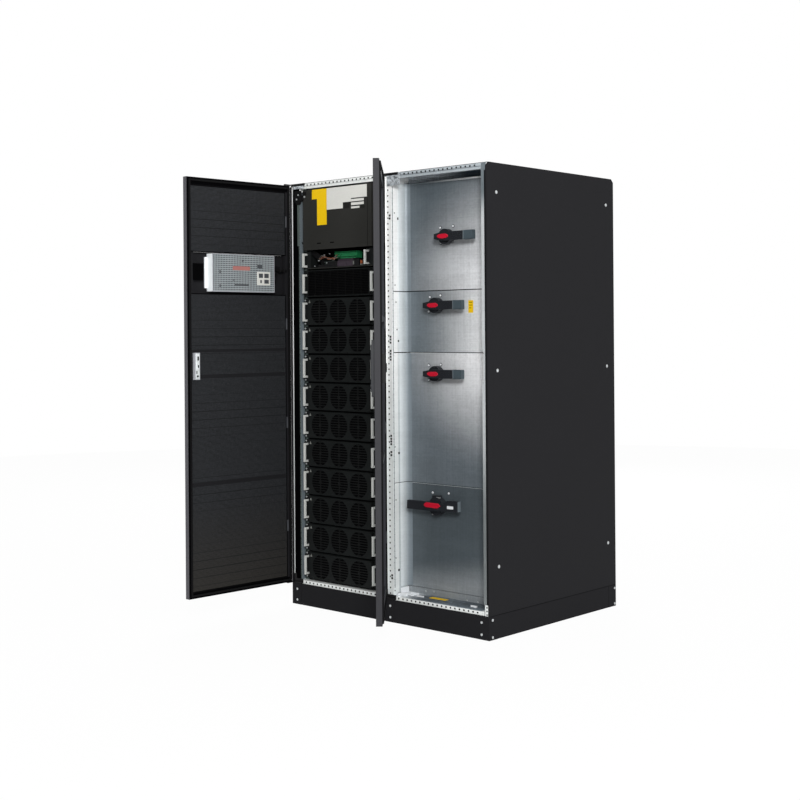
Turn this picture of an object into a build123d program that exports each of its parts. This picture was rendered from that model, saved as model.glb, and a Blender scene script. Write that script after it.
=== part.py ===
import os

from build123d import *

# Two bays of a cabinet side by side, front towards -Y, feet on Z zero,
# middle of the footprint at the origin.
# All sizes are in millimetres.

# Overall sizes
WIDTH = 1200.0
DEPTH = 950.0
HEIGHT = 2000.0
PLINTH_HEIGHT = 100.0
SHEET = 3.0
JOIN = 0.3
PANEL_DEPTH = 6.0
FRONT_SET = 7.0
REAR_SET = 9.0
LEFT, RIGHT = -WIDTH / 2, WIDTH / 2
FRONT, BACK = -DEPTH / 2, DEPTH / 2
BAY_MIDDLE = WIDTH / 4

# Plinth
CORNER_SIZE = 58.0
PLINTH_FLANGE = 14.0
PLINTH_SET = 1.0

# Frame profile, stepped once behind its lip
LIP = 11.0
STEP = 8.0
POST = 45.0
NARROW = 27.0
NOTCH = 28.0
RAIL = 24.0
ROOF = 3.0
ROOF_SET = 6.0
LOW_RAIL = 17.0
FRAME_LOW = PLINTH_HEIGHT
FRAME_TOP = HEIGHT - ROOF

# Panels
PANEL_CHAMFER = 16.0

# Doors, hung on pins at top and bottom
DOOR_GAP = 6.0
DOOR_THICK = 26.0
DOOR_SIDE = 4.0
DOOR_CLEAR = 12.0
DOOR_LOW = PLINTH_HEIGHT + DOOR_CLEAR
DOOR_TOP = HEIGHT - DOOR_CLEAR
DOOR_BORDER = 34.0
PIVOT_IN = 3.0
PIVOT_OUT = 4.0
PIVOT_X = DOOR_SIDE + PIVOT_IN
PIVOT_Y = -DOOR_GAP - DOOR_THICK - PIVOT_OUT
LEFT_OPEN = 93.1
RIGHT_OPEN = 48.5
KNUCKLE_R = 4.8
KNUCKLE_LONG = 14.0
PIN_R = 2.4
PIN_PLAY = 0.3
BRACKET_THICK = 5.0
BRACKET_GAP = 5.0
BRACKET_LOW_LONG = 65.0
BRACKET_TOP_LONG = 94.0
UPSTAND = 2.0
UPSTAND_LOW = 10.0
UPSTAND_HIGH = 32.0
UPSTAND_WIDE = 17.0
SEAL_SET = 9.0
SEAL_WIDE = 8.0
SEAL_DEEP = 6.0
MESH_THICK = 3.0
MESH_BACK = 3.0
BAND_DROP = 333.0
BAND_TALL = 185.0
BAND_TOP = DOOR_TOP - BAND_DROP
BAND_LOW = BAND_TOP - BAND_TALL
SKIN = 3.0
RIB_DEEP = DOOR_THICK - SKIN
RIB_WIDE = 24.0
RIB_ROWS = 4

# Display, lock and handle on the doors, the display and screen counted from the middle of the bay
DISPLAY_FLANGE = 15.0
DISPLAY_FLANGE_THICK = 5.0
DISPLAY_UNDER, DISPLAY_OVER = 9.0, 5.0
DISPLAY_DEEP = 21.0
SCREEN_LEFT, SCREEN_RIGHT = 114.0, 106.0
SCREEN_UNDER, SCREEN_OVER = 35.0, 25.0
SCREEN_DEEP = 4.0
LOCK_IN = 44.0
LOCK_X = WIDTH / 2 - LOCK_IN
LOCK_WIDE, LOCK_TALL, LOCK_DEEP = 26.0, 120.0, 18.0
LOCK_RAISED = 95.0
LOCK_Z = (DOOR_LOW + DOOR_TOP) / 2 + LOCK_RAISED
LEVER_WIDE, LEVER_TALL, LEVER_DEEP = 24.0, 230.0, 12.0
CABLE_R = 6.0
CABLE_END = 34.0
CABLE_RAISED = 114.0

# Module bay, in units of the 19 inch system
UNIT = 44.45
MODULE_COUNT = 10
MODULE_UNITS = 3
MODULE_CLEAR = 5.5
MODULE_LOW = PLINTH_HEIGHT + LOW_RAIL + MODULE_CLEAR
MODULE_GAP = 6.0
UPRIGHT_WIDE = 23.7
UPRIGHT_CLEAR = 11.0
UPRIGHT_DEEP = 30.0
UPRIGHT_X0 = PANEL_DEPTH + POST + JOIN
UPRIGHT_X1 = UPRIGHT_X0 + UPRIGHT_WIDE
CHASSIS_HALF = BAY_MIDDLE - UPRIGHT_X1 - UPRIGHT_CLEAR
EAR_OUT, HANDLE_OUT, COVER_OUT = 27.3, 8.0, 11.0
FACE_IN = 10.0
EAR_HALF = CHASSIS_HALF + EAR_OUT
EAR_Y = 34.0
EAR_THICK = 3.0
FACE_HALF = CHASSIS_HALF - FACE_IN
FACE_Y = 22.0
FACE_TRIM = 2.0
CHASSIS_DEEP = 690.0
WALL = 6.0
HANDLE_X = CHASSIS_HALF + HANDLE_OUT
HANDLE_BAR = 8.0
HANDLE_Y = 8.0
HANDLE_TALL = 88.0
TRAY_UNITS = 2
TRAY_TALL = 64.0
TRAY_HANDLE_IN = 30.0
TRAY_HANDLE_X1 = CHASSIS_HALF - TRAY_HANDLE_IN
TRAY_DEEP = 300.0
REAR_UPRIGHT_Y = 760.0
GUIDE_WIDE = 4.0
GUIDE_TALL = 40.0
COVER_HALF = CHASSIS_HALF + COVER_OUT
DISPLAY_LEFT_IN, DISPLAY_RIGHT_IN = 33.0, 40.0
DISPLAY_LEFT, DISPLAY_RIGHT = CHASSIS_HALF - DISPLAY_LEFT_IN, CHASSIS_HALF - DISPLAY_RIGHT_IN
COVER_Y = 14.0
COVER_DROP = 7.0
COVER_TOP = FRAME_TOP - RAIL - COVER_DROP
COVER_FOLD = 20.0
BLOCK_LEFT, BLOCK_RIGHT = 57.0, 87.0
BLOCK_Y, BLOCK_DEEP = 55.0, 40.0
BLOCK_TALL = 33.0
BLOCK_DROP = 6.0
BASE_LEFT, BASE_RIGHT = 40.0, 60.0
BASE_IN = 6.0

# Switch bay, its plates given as shares of the height they fill
# and each switch by its drop below a plate's top edge
PLATE_Y = 112.0
PLATE_UNDER, PLATE_OVER = 50.0, 40.0
PLATE_LOW, PLATE_TOP = PLINTH_HEIGHT + PLATE_UNDER, HEIGHT - PLATE_OVER
PLATE_SHARES = (0.0, 0.258, 0.5796, 0.7309, 1.0)
PLATE_EDGES = [PLATE_LOW + share * (PLATE_TOP - PLATE_LOW) for share in PLATE_SHARES]
PLATE_SEAM = 2.0
STRIP_TALL = 28.7
HEADER_BACK = 20.0
HEADER_LAP = 20.0
SWITCH_OFFSET = (5.0, -56.0, -58.0, -55.0)
SWITCH_DROP = (254.0, 66.0, 93.0, 92.0)
SWITCH_TIP = (42.0, 48.0, 48.0, 150.0)
SWITCH_ARM = (174.0, 172.0, 171.0, 143.0)
SWITCH_HUB = (34.0, 34.0, 34.0, 40.0)
ARM_TALL = 38.0
TIP_TALL = 22.0
ARM_THICK = 20.0
ARM_Y = 52.0
COLLAR_IN = 7.0
COLLAR_DEEP = 12.0


def slab(x0, x1, y0, y1, z0, z1):
    return Pos((x0 + x1) / 2, (y0 + y1) / 2, (z0 + z1) / 2) * Box(x1 - x0, y1 - y0, z1 - z0)


def prism(points, way, length):
    return extrude(Face(Wire.make_polygon([Vector(*p) for p in points], close=True)), amount=length, dir=way)


def rod(x, y, z, radius, length):
    return Pos(x, y, z + length / 2) * Cylinder(radius, length)


def button(x, y, z, radius, length):
    return Pos(x, y + length / 2, z) * Rot(90, 0, 0) * Cylinder(radius, length)


def opened(shape, x, y, angle):
    return shape.moved(Location((x, y, 0)) * Location((0, 0, 0), (0, 0, -angle)) * Location((-x, -y, 0)))


def save(name, shapes):
    shapes = shapes if isinstance(shapes, list) else [shapes]
    solids = [s for shape in shapes for s in shape.solids()]
    whole = solids[0] if len(solids) == 1 else Compound(children=solids)
    export_step(whole, os.path.join("parts", name + ".step"))


def bay_frame(bay):
    left = LEFT + PANEL_DEPTH if bay == 0 else JOIN
    right = -JOIN if bay == 0 else RIGHT - PANEL_DEPTH
    return left, right, FRONT + FRONT_SET, BACK - REAR_SET


def section(size):
    return [(0, 0), (LIP, 0), (LIP, STEP), (size, STEP), (size, size), (STEP, size), (STEP, LIP), (0, LIP)]


def narrow_section():
    face = [(0, 0), (LIP, 0), (LIP, STEP), (NARROW, STEP), (NARROW, NOTCH), (POST, NOTCH)]
    return face + [(POST, POST), (STEP, POST), (STEP, LIP), (0, LIP)]


def low_section():
    return [(0, 0), (POST, 0), (POST, LOW_RAIL), (0, LOW_RAIL)]


# Plinth corners and trims
def plinth_corners():
    out = []
    for x0, x1 in ((LEFT, -JOIN), (JOIN, RIGHT)):
        for y in (FRONT, BACK - CORNER_SIZE):
            out.append(slab(x0, x0 + CORNER_SIZE, y, y + CORNER_SIZE, 0, PLINTH_HEIGHT))
            out.append(slab(x1 - CORNER_SIZE, x1, y, y + CORNER_SIZE, 0, PLINTH_HEIGHT))
    return out


def channel_x(x0, x1, y, way):
    a, b = y, y + way * PLINTH_FLANGE
    t = y + way * SHEET
    low, top = SHEET, PLINTH_HEIGHT - SHEET
    points = [(a, 0), (b, 0), (b, low), (t, low), (t, top), (b, top), (b, PLINTH_HEIGHT), (a, PLINTH_HEIGHT)]
    return prism([(x0, p, q) for p, q in points], (1, 0, 0), x1 - x0)


def channel_y(x, way):
    y0, y1 = FRONT + CORNER_SIZE + JOIN, BACK - CORNER_SIZE - JOIN
    a, b = x, x + way * PLINTH_FLANGE
    t = x + way * SHEET
    low, top = SHEET, PLINTH_HEIGHT - SHEET
    points = [(a, 0), (b, 0), (b, low), (t, low), (t, top), (b, top), (b, PLINTH_HEIGHT), (a, PLINTH_HEIGHT)]
    return prism([(p, y0, q) for p, q in points], (0, 1, 0), y1 - y0)


def plinth_trims(y, way):
    out = []
    for x0, x1 in ((LEFT, -JOIN), (JOIN, RIGHT)):
        out.append(channel_x(x0 + CORNER_SIZE + JOIN, x1 - CORNER_SIZE - JOIN, y, way))
    return out


def plinth_side_trims():
    y0, y1 = FRONT + CORNER_SIZE + JOIN, BACK - CORNER_SIZE - JOIN
    web = slab(-SHEET, SHEET, y0, y1, 0, PLINTH_HEIGHT)
    for z in (0, PLINTH_HEIGHT - SHEET):
        web += slab(-PLINTH_FLANGE, PLINTH_FLANGE, y0, y1, z, z + SHEET)
    return [channel_y(LEFT + PLINTH_SET, 1), web, channel_y(RIGHT - PLINTH_SET, -1)]


# Frame posts and rails
def frame_posts():
    out = []
    for bay in (0, 1):
        x0, x1, y0, y1 = bay_frame(bay)
        for x, sx in ((x0, 1), (x1, -1)):
            for y, sy in ((y0, 1), (y1, -1)):
                shape = narrow_section() if sx < 0 < sy else section(POST)
                points = [(x + sx * a, y + sy * b, FRAME_LOW) for a, b in shape]
                out.append(prism(points, (0, 0, 1), FRAME_TOP - FRAME_LOW))
    return out


def frame_rails():
    out = []
    for bay in (0, 1):
        x0, x1, y0, y1 = bay_frame(bay)
        for z, sz, shape in ((FRAME_TOP, -1, section(RAIL)), (FRAME_LOW, 1, low_section())):
            for y, sy in ((y0, 1), (y1, -1)):
                points = [(x0 + POST, y + sy * a, z + sz * b) for a, b in shape]
                rail = prism(points, (1, 0, 0), x1 - x0 - POST - POST)
                if sy > 0:
                    points = [(x1 - POST, y + min(a, NOTCH), z + sz * b) for a, b in shape]
                    rail += prism(points, (1, 0, 0), POST - NARROW)
                out.append(rail)
            for x, sx in ((x0, 1), (x1, -1)):
                points = [(x + sx * a, y0 + POST, z + sz * b) for a, b in shape]
                out.append(prism(points, (0, 1, 0), y1 - y0 - POST - POST))
    return out


# Skins of the cabinet
def roof_plates():
    out = []
    for bay in (0, 1):
        x0, x1, y0, y1 = bay_frame(bay)
        out.append(slab(x0, x1, y0 + ROOF_SET, y1, FRAME_TOP, HEIGHT))
    return out


def side_panel(x, way):
    low, top = FRAME_LOW + JOIN, HEIGHT
    outline = [(FRONT, low), (BACK, low), (BACK, top - PANEL_CHAMFER), (BACK - PANEL_CHAMFER, top)]
    outline += [(FRONT + PANEL_CHAMFER, top), (FRONT, top - PANEL_CHAMFER)]
    deep = PANEL_DEPTH - JOIN
    plate = prism([(x, a, b) for a, b in outline], (way, 0, 0), deep)
    inner = sorted((x + way * SHEET, x + way * (deep + SHEET)))
    edge = PANEL_CHAMFER + SHEET
    return plate - slab(*inner, FRONT + SHEET, BACK - SHEET, low + SHEET, top - edge)


def rear_panels():
    out = []
    for bay in (0, 1):
        x0, x1, y0, y1 = bay_frame(bay)
        out.append(slab(x0, x1, y1, y1 + SHEET, FRAME_LOW + JOIN, HEIGHT))
    return out


def floor_plates():
    out = []
    for bay in (0, 1):
        x0, x1, y0, y1 = bay_frame(bay)
        z = FRAME_LOW + LOW_RAIL if bay else FRAME_LOW + SHEET
        reach = 0 if bay else POST
        low = [(x0 + POST, x1 - POST), (y0 + reach, y1 - reach)]
        out.append(slab(*low[0], *low[1], z, z + SHEET))
    return out


# Module bay
def unit_body(low, units, chassis_deep, hollow):
    z0 = low + MODULE_GAP / 2
    z1 = low + units * UNIT - MODULE_GAP / 2
    mid = LEFT + BAY_MIDDLE
    ear = FRONT + EAR_Y
    back = ear + EAR_THICK
    body = slab(mid - EAR_HALF, mid + EAR_HALF, ear, back, z0, z1)
    body += slab(mid - FACE_HALF, mid + FACE_HALF, FRONT + FACE_Y, ear, z0 + FACE_TRIM, z1 - FACE_TRIM)
    shell = slab(mid - CHASSIS_HALF, mid + CHASSIS_HALF, back, back + chassis_deep, z0, z1)
    if hollow:
        inside = slab(
            mid - CHASSIS_HALF + WALL,
            mid + CHASSIS_HALF - WALL,
            back + WALL,
            back + chassis_deep - WALL,
            z0 + WALL,
            z1 - WALL,
        )
        shell -= inside
    return body + shell


def bow_handle(x, z, tall):
    y0, y1 = FRONT + HANDLE_Y, FRONT + EAR_Y
    x0, x1 = x - HANDLE_BAR / 2, x + HANDLE_BAR / 2
    z0, z1 = z - tall / 2, z + tall / 2
    whole = slab(x0, x1, y0, y1, z0, z1)
    inner0, inner1 = z0 + HANDLE_BAR, z1 - HANDLE_BAR
    return whole - slab(x0 - SHEET, x1 + SHEET, y0 + HANDLE_BAR, y1 + SHEET, inner0, inner1)


def ups_module(number):
    low = MODULE_LOW + (MODULE_COUNT - number) * MODULE_UNITS * UNIT
    middle = low + MODULE_UNITS * UNIT / 2
    whole = unit_body(low, MODULE_UNITS, CHASSIS_DEEP, True)
    for x in (-HANDLE_X, HANDLE_X):
        whole += bow_handle(LEFT + BAY_MIDDLE + x, middle, HANDLE_TALL)
    return whole


def louvre_low():
    return MODULE_LOW + MODULE_COUNT * MODULE_UNITS * UNIT


def tray_low():
    return louvre_low() + MODULE_UNITS * UNIT


def terminal_tray():
    z0 = tray_low() + MODULE_GAP / 2
    z1 = tray_low() + TRAY_UNITS * UNIT - MODULE_GAP / 2
    mid = LEFT + BAY_MIDDLE
    ear, back = FRONT + EAR_Y, FRONT + EAR_Y + TRAY_DEEP
    tray = slab(mid - CHASSIS_HALF, mid + CHASSIS_HALF, ear, back, z0, z1)
    reach = CHASSIS_HALF - SHEET
    tray -= slab(mid - reach, mid + reach, ear - SHEET, back - SHEET, z0 + SHEET, z1 + SHEET)
    for side in (-1, 1):
        edges = sorted((mid + side * (CHASSIS_HALF - COVER_FOLD), mid + side * EAR_HALF))
        tray += slab(*edges, ear, ear + EAR_THICK, z0, z1)
    tray += slab(mid + TRAY_HANDLE_X1 - HANDLE_BAR, mid + CHASSIS_HALF, ear, ear + EAR_THICK, z0, z1)
    return tray


def unit_handles():
    mid = LEFT + BAY_MIDDLE
    louvre = louvre_low() + MODULE_UNITS * UNIT / 2
    tray = tray_low() + TRAY_UNITS * UNIT / 2
    return [
        bow_handle(mid - HANDLE_X, louvre, HANDLE_TALL),
        bow_handle(mid + HANDLE_X, louvre, HANDLE_TALL),
        bow_handle(mid - HANDLE_X, tray, TRAY_TALL),
        bow_handle(mid + TRAY_HANDLE_X1, tray, TRAY_TALL),
    ]


def terminal_block():
    low = tray_low() + MODULE_GAP / 2 + SHEET
    top = tray_low() + TRAY_UNITS * UNIT - MODULE_GAP / 2 - BLOCK_DROP
    mid, y0 = LEFT + BAY_MIDDLE, FRONT + BLOCK_Y
    y1 = y0 + BLOCK_DEEP
    block = slab(mid - BLOCK_LEFT, mid + BLOCK_RIGHT, y0, y1, top - BLOCK_TALL, top)
    return block + slab(mid - BASE_LEFT, mid + BASE_RIGHT, y0 + BASE_IN, y1 - BASE_IN, low, top)


def equipment_uprights():
    out = []
    z0, z1 = FRAME_LOW + LOW_RAIL + JOIN, FRAME_TOP - JOIN
    for edge0, edge1 in ((UPRIGHT_X0, UPRIGHT_X1), (WIDTH / 2 - UPRIGHT_X1, WIDTH / 2 - UPRIGHT_X0)):
        for y in (FRONT + EAR_Y + EAR_THICK + JOIN, FRONT + REAR_UPRIGHT_Y):
            web0 = edge0 if edge0 < BAY_MIDDLE else edge1 - SHEET
            plate = slab(LEFT + edge0, LEFT + edge1, y, y + SHEET, z0, z1)
            out.append(plate + slab(LEFT + web0, LEFT + web0 + SHEET, y, y + UPRIGHT_DEEP, z0, z1))
    return out


def module_guides():
    out = []
    y0 = FRONT + EAR_Y + EAR_THICK + JOIN + SHEET
    y1 = FRONT + REAR_UPRIGHT_Y
    for number in range(MODULE_COUNT + 1):
        low = MODULE_LOW + number * MODULE_UNITS * UNIT + MODULE_GAP
        for edge, way in ((UPRIGHT_X1, -1), (WIDTH / 2 - UPRIGHT_X1, 1)):
            sides = sorted((LEFT + edge, LEFT + edge + way * GUIDE_WIDE))
            out.append(slab(*sides, y0, y1, low, low + GUIDE_TALL))
    return out


def top_cover_panel():
    z0, z1 = tray_low() + TRAY_UNITS * UNIT + MODULE_GAP / 2, COVER_TOP
    x0, x1 = LEFT + BAY_MIDDLE - COVER_HALF, LEFT + BAY_MIDDLE + COVER_HALF
    y = FRONT + COVER_Y
    whole = slab(x0, x1, y, y + SHEET, z0, z1)
    for x in (x0, x1 - SHEET):
        whole += slab(x, x + SHEET, y, FRONT + EAR_Y + EAR_THICK, z0, z1)
    whole += slab(x0, x1, y, FRONT + EAR_Y + EAR_THICK, z1 - SHEET, z1)
    return whole


# Switch bay
def switch_side_plates():
    x0, x1, y0, y1 = bay_frame(1)
    z0, z1 = FRAME_LOW + LOW_RAIL + JOIN, FRAME_TOP - JOIN
    a, b = y0 + POST + JOIN, FRONT + PLATE_Y + HEADER_BACK + SHEET
    return [
        slab(x0 + POST - SHEET, x0 + POST, a, b, z0, z1),
        slab(x1 - POST, x1 - POST + SHEET, a, b, z0, z1),
    ]


def switch_cover(index):
    x0, x1, y0, y1 = bay_frame(1)
    z0, z1 = PLATE_EDGES[index] + PLATE_SEAM / 2, PLATE_EDGES[index + 1] - PLATE_SEAM / 2
    y = FRONT + PLATE_Y
    side = POST + JOIN
    return slab(x0 + side, x1 - side, y, y + SHEET, z0, z1)


def switch_end_strips():
    x0, x1, y0, y1 = bay_frame(1)
    side = POST + JOIN
    y = FRONT + PLATE_Y
    low = PLATE_LOW - PLATE_SEAM / 2
    back = y + HEADER_BACK
    return [
        slab(x0 + side, x1 - side, y, y + SHEET, low - STRIP_TALL, low),
        slab(x0 + side, x1 - side, back, back + SHEET, PLATE_TOP - HEADER_LAP, FRAME_TOP - JOIN),
    ]


def switch_place(index):
    return BAY_MIDDLE + SWITCH_OFFSET[index], PLATE_EDGES[-1 - index] - SWITCH_DROP[index]


def switch_collars():
    out = []
    for index, hub in enumerate(SWITCH_HUB):
        x, z = switch_place(index)
        out.append(button(x, FRONT + PLATE_Y - COLLAR_DEEP, z, hub - COLLAR_IN, COLLAR_DEEP))
    return out


def switch_handle(index):
    x, z = switch_place(index)
    hub, tip, arm = SWITCH_HUB[index], SWITCH_TIP[index], SWITCH_ARM[index]
    y = FRONT + ARM_Y
    end = FRONT + PLATE_Y - COLLAR_DEEP - JOIN
    low, top = z - ARM_TALL / 2, z + ARM_TALL / 2
    nose = TIP_TALL / 2
    whole = button(x, y + ARM_THICK, z, hub, end - y - ARM_THICK)
    swap = tip > arm
    long_end, short_end = (x - tip, x + arm) if swap else (x + arm, x - tip)
    edges = sorted((x, long_end))
    whole += slab(*edges, y, y + ARM_THICK, low, top)
    points = [(x, y, low), (short_end, y, z - nose), (short_end, y, z + nose), (x, y, top)]
    return whole + prism(points, (0, 1, 0), ARM_THICK)


# Doors, drawn closed and then turned to where they stand
def leaf(bay):
    left = LEFT + bay * WIDTH / 2 + DOOR_SIDE
    right = LEFT + (bay + 1) * WIDTH / 2 - DOOR_SIDE
    inner = FRONT - DOOR_GAP
    return left, right, inner - DOOR_THICK, inner


def pivot(bay):
    return LEFT + bay * WIDTH / 2 + PIVOT_X, FRONT + PIVOT_Y


def place(bay, shape):
    x, y = pivot(bay)
    return opened(shape, x, y, (LEFT_OPEN, RIGHT_OPEN)[bay])


def knuckles(bay, whole):
    x, y = pivot(bay)
    for z in (DOOR_LOW, DOOR_TOP - KNUCKLE_LONG):
        whole += rod(x, y, z, KNUCKLE_R, KNUCKLE_LONG)
    for z in (DOOR_LOW, DOOR_TOP - KNUCKLE_LONG):
        whole -= rod(x, y, z, PIN_R + PIN_PLAY, KNUCKLE_LONG)
    return whole


def left_door_frame():
    x0, x1, y0, y1 = leaf(0)
    whole = slab(x0, x1, y0, y1, DOOR_LOW, DOOR_TOP)
    a, b = x0 + DOOR_BORDER, x1 - DOOR_BORDER
    for z0, z1 in ((DOOR_LOW + DOOR_BORDER, BAND_LOW), (BAND_TOP, DOOR_TOP - DOOR_BORDER)):
        whole -= slab(a, b, y0 - SHEET, y1 + SHEET, z0, z1)
    back = y0 + SKIN
    whole -= slab(a, b, back, y1 + SHEET, BAND_LOW - SHEET, BAND_TOP + SHEET)
    return place(0, knuckles(0, whole))


def left_door_mesh():
    x0, x1, y0, y1 = leaf(0)
    a, b = x0 + DOOR_BORDER + JOIN, x1 - DOOR_BORDER - JOIN
    y = y0 + MESH_BACK
    out = []
    for z0, z1 in ((DOOR_LOW + DOOR_BORDER, BAND_LOW), (BAND_TOP, DOOR_TOP - DOOR_BORDER)):
        out.append(place(0, slab(a, b, y, y + MESH_THICK, z0 + JOIN, z1 - JOIN)))
    return out


def door_seal(bay):
    x0, x1, y0, y1 = leaf(bay)
    whole = slab(x0 + SEAL_SET, x1 - SEAL_SET, y1, y1 + SEAL_DEEP, DOOR_LOW + SEAL_SET, DOOR_TOP - SEAL_SET)
    edge = SEAL_SET + SEAL_WIDE
    whole -= slab(x0 + edge, x1 - edge, y1, y1 + SEAL_DEEP, DOOR_LOW + edge, DOOR_TOP - edge)
    return place(bay, whole)


def display_box():
    x0, x1, y0, y1 = leaf(0)
    y, right = y0 + SKIN, LEFT + BAY_MIDDLE + DISPLAY_RIGHT
    low, top = BAND_LOW + DISPLAY_UNDER, BAND_TOP - DISPLAY_OVER
    box = slab(LEFT + BAY_MIDDLE - DISPLAY_LEFT, right, y, y1 + DISPLAY_DEEP, low, top)
    low, top = low + DISPLAY_FLANGE, top - DISPLAY_FLANGE
    return place(0, box + slab(right, right + DISPLAY_FLANGE, y, y + DISPLAY_FLANGE_THICK, low, top))


def display_screen():
    x0, x1, y0, y1 = leaf(0)
    a, b = LEFT + BAY_MIDDLE - SCREEN_LEFT, LEFT + BAY_MIDDLE + SCREEN_RIGHT
    return place(0, slab(a, b, y0 - SCREEN_DEEP, y0, BAND_LOW + SCREEN_UNDER, BAND_TOP - SCREEN_OVER))


def display_cable():
    x0, x1, y0, y1 = leaf(0)
    a, b = LEFT + CABLE_END, LEFT + BAY_MIDDLE - DISPLAY_LEFT - JOIN
    middle = Pos((a + b) / 2, y1 + CABLE_R + JOIN, BAND_LOW + CABLE_RAISED)
    return place(0, middle * Rot(0, 90, 0) * Cylinder(CABLE_R, b - a))


def door_lock(bay):
    x0, x1, y0, y1 = leaf(bay)
    x = LEFT + bay * WIDTH / 2 + LOCK_X
    a, b = x - LOCK_WIDE / 2, x + LOCK_WIDE / 2
    return place(bay, slab(a, b, y1, y1 + LOCK_DEEP, LOCK_Z - LOCK_TALL / 2, LOCK_Z + LOCK_TALL / 2))


def door_lever(bay):
    x0, x1, y0, y1 = leaf(bay)
    x = LEFT + bay * WIDTH / 2 + LOCK_X
    a, b = x - LEVER_WIDE / 2, x + LEVER_WIDE / 2
    return place(bay, slab(a, b, y0 - LEVER_DEEP, y0, LOCK_Z - LEVER_TALL / 2, LOCK_Z + LEVER_TALL / 2))


def right_door_skin():
    x0, x1, y0, y1 = leaf(1)
    whole = slab(x0, x1, y0, y1, DOOR_LOW, DOOR_TOP)
    a, b = x0 + DOOR_BORDER, x1 - DOOR_BORDER
    whole -= slab(a, b, y0 + SKIN, y1 + SKIN, DOOR_LOW + DOOR_BORDER, DOOR_TOP - DOOR_BORDER)
    return place(1, knuckles(1, whole))


def right_door_ribs():
    x0, x1, y0, y1 = leaf(1)
    side = DOOR_BORDER + JOIN
    z0, z1 = DOOR_LOW + side, DOOR_TOP - side
    a, b = x0 + side, x1 - side
    y = y0 + SKIN
    out = [slab(a, a + RIB_WIDE, y, y + RIB_DEEP, z0, z1), slab(b - RIB_WIDE, b, y, y + RIB_DEEP, z0, z1)]
    for row in range(RIB_ROWS):
        z = z0 + row * (z1 - z0 - RIB_WIDE) / (RIB_ROWS - 1)
        out.append(slab(a + RIB_WIDE + JOIN, b - RIB_WIDE - JOIN, y, y + RIB_DEEP, z, z + RIB_WIDE))
    return [place(1, rib) for rib in out]


def hinge_bracket(bay, z, pin, long, upstands):
    x, y = pivot(bay)
    x0 = x - KNUCKLE_R
    y1 = bay_frame(bay)[2]
    tab = max(x0, bay_frame(bay)[0] + JOIN)
    whole = slab(x0, x0 + KNUCKLE_R + KNUCKLE_R, y - KNUCKLE_R, FRONT - JOIN, z, z + BRACKET_THICK)
    whole += slab(x0, x0 + long, FRONT - DOOR_GAP, FRONT - JOIN, z, z + BRACKET_THICK)
    whole += slab(tab, x0 + long, FRONT - DOOR_GAP, y1, z, z + BRACKET_THICK)
    for end, z0, z1 in upstands:
        whole += slab(tab, end, y1 - UPSTAND, y1, z0, z1)
    return whole + rod(x, y, pin, PIN_R, BRACKET_THICK + BRACKET_GAP + KNUCKLE_LONG)


def hinge_brackets():
    out = []
    for bay in (0, 1):
        x0 = pivot(bay)[0] - KNUCKLE_R
        low = DOOR_LOW - BRACKET_GAP - BRACKET_THICK
        corner = bay_frame(bay)[0] + JOIN + UPSTAND_WIDE
        ends = [(x0 + BRACKET_LOW_LONG, low, DOOR_LOW + UPSTAND_LOW)]
        ends.append((corner, low, DOOR_LOW + UPSTAND_HIGH))
        out.append(hinge_bracket(bay, low, low, BRACKET_LOW_LONG, ends))
        top, pin = DOOR_TOP + BRACKET_GAP, DOOR_TOP - KNUCKLE_LONG
        ends = [(x0 + BRACKET_TOP_LONG, DOOR_TOP, HEIGHT)]
        out.append(hinge_bracket(bay, top, pin, BRACKET_TOP_LONG, ends))
    return out


def main():
    os.makedirs("parts", exist_ok=True)
    save("plinth_corners", plinth_corners())
    save("plinth_front_trims", plinth_trims(FRONT + PLINTH_SET, 1))
    save("plinth_rear_trims", plinth_trims(BACK - PLINTH_SET, -1))
    save("plinth_side_trims", plinth_side_trims())
    save("frame_posts", frame_posts())
    save("frame_rails", frame_rails())
    save("roof_plates", roof_plates())
    save("left_side_panel", side_panel(LEFT, 1))
    save("right_side_panel", side_panel(RIGHT, -1))
    save("rear_panels", rear_panels())
    save("floor_plates", floor_plates())
    save("equipment_uprights", equipment_uprights())
    save("module_guides", module_guides())
    save("top_cover_panel", top_cover_panel())
    save("terminal_tray", terminal_tray())
    save("terminal_block", terminal_block())
    save("louvre_unit", unit_body(louvre_low(), MODULE_UNITS, TRAY_DEEP, True))
    save("unit_handles", unit_handles())
    save("switch_side_plates", switch_side_plates())
    save("switch_end_strips", switch_end_strips())
    for index, name in enumerate(("bottom", "lower", "upper", "top")):
        save("switch_cover_" + name, switch_cover(index))
    save("switch_collars", switch_collars())
    for index in range(len(SWITCH_HUB)):
        save("switch_handle_%d" % (index + 1), switch_handle(index))
    save("hinge_brackets", hinge_brackets())
    save("left_door_frame", left_door_frame())
    save("left_door_mesh", left_door_mesh())
    save("left_door_seal", door_seal(0))
    save("display_box", display_box())
    save("display_screen", display_screen())
    save("display_cable", display_cable())
    save("left_door_lock", door_lock(0))
    save("left_door_lever", door_lever(0))
    save("right_door_skin", right_door_skin())
    save("right_door_seal", door_seal(1))
    save("right_door_ribs", right_door_ribs())
    save("right_door_lock", door_lock(1))
    save("right_door_lever", door_lever(1))
    for number in range(1, MODULE_COUNT + 1):
        save("ups_module_%02d" % number, ups_module(number))


main()
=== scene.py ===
import math
import bpy
import numpy as np
from mathutils import Matrix, Vector


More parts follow.
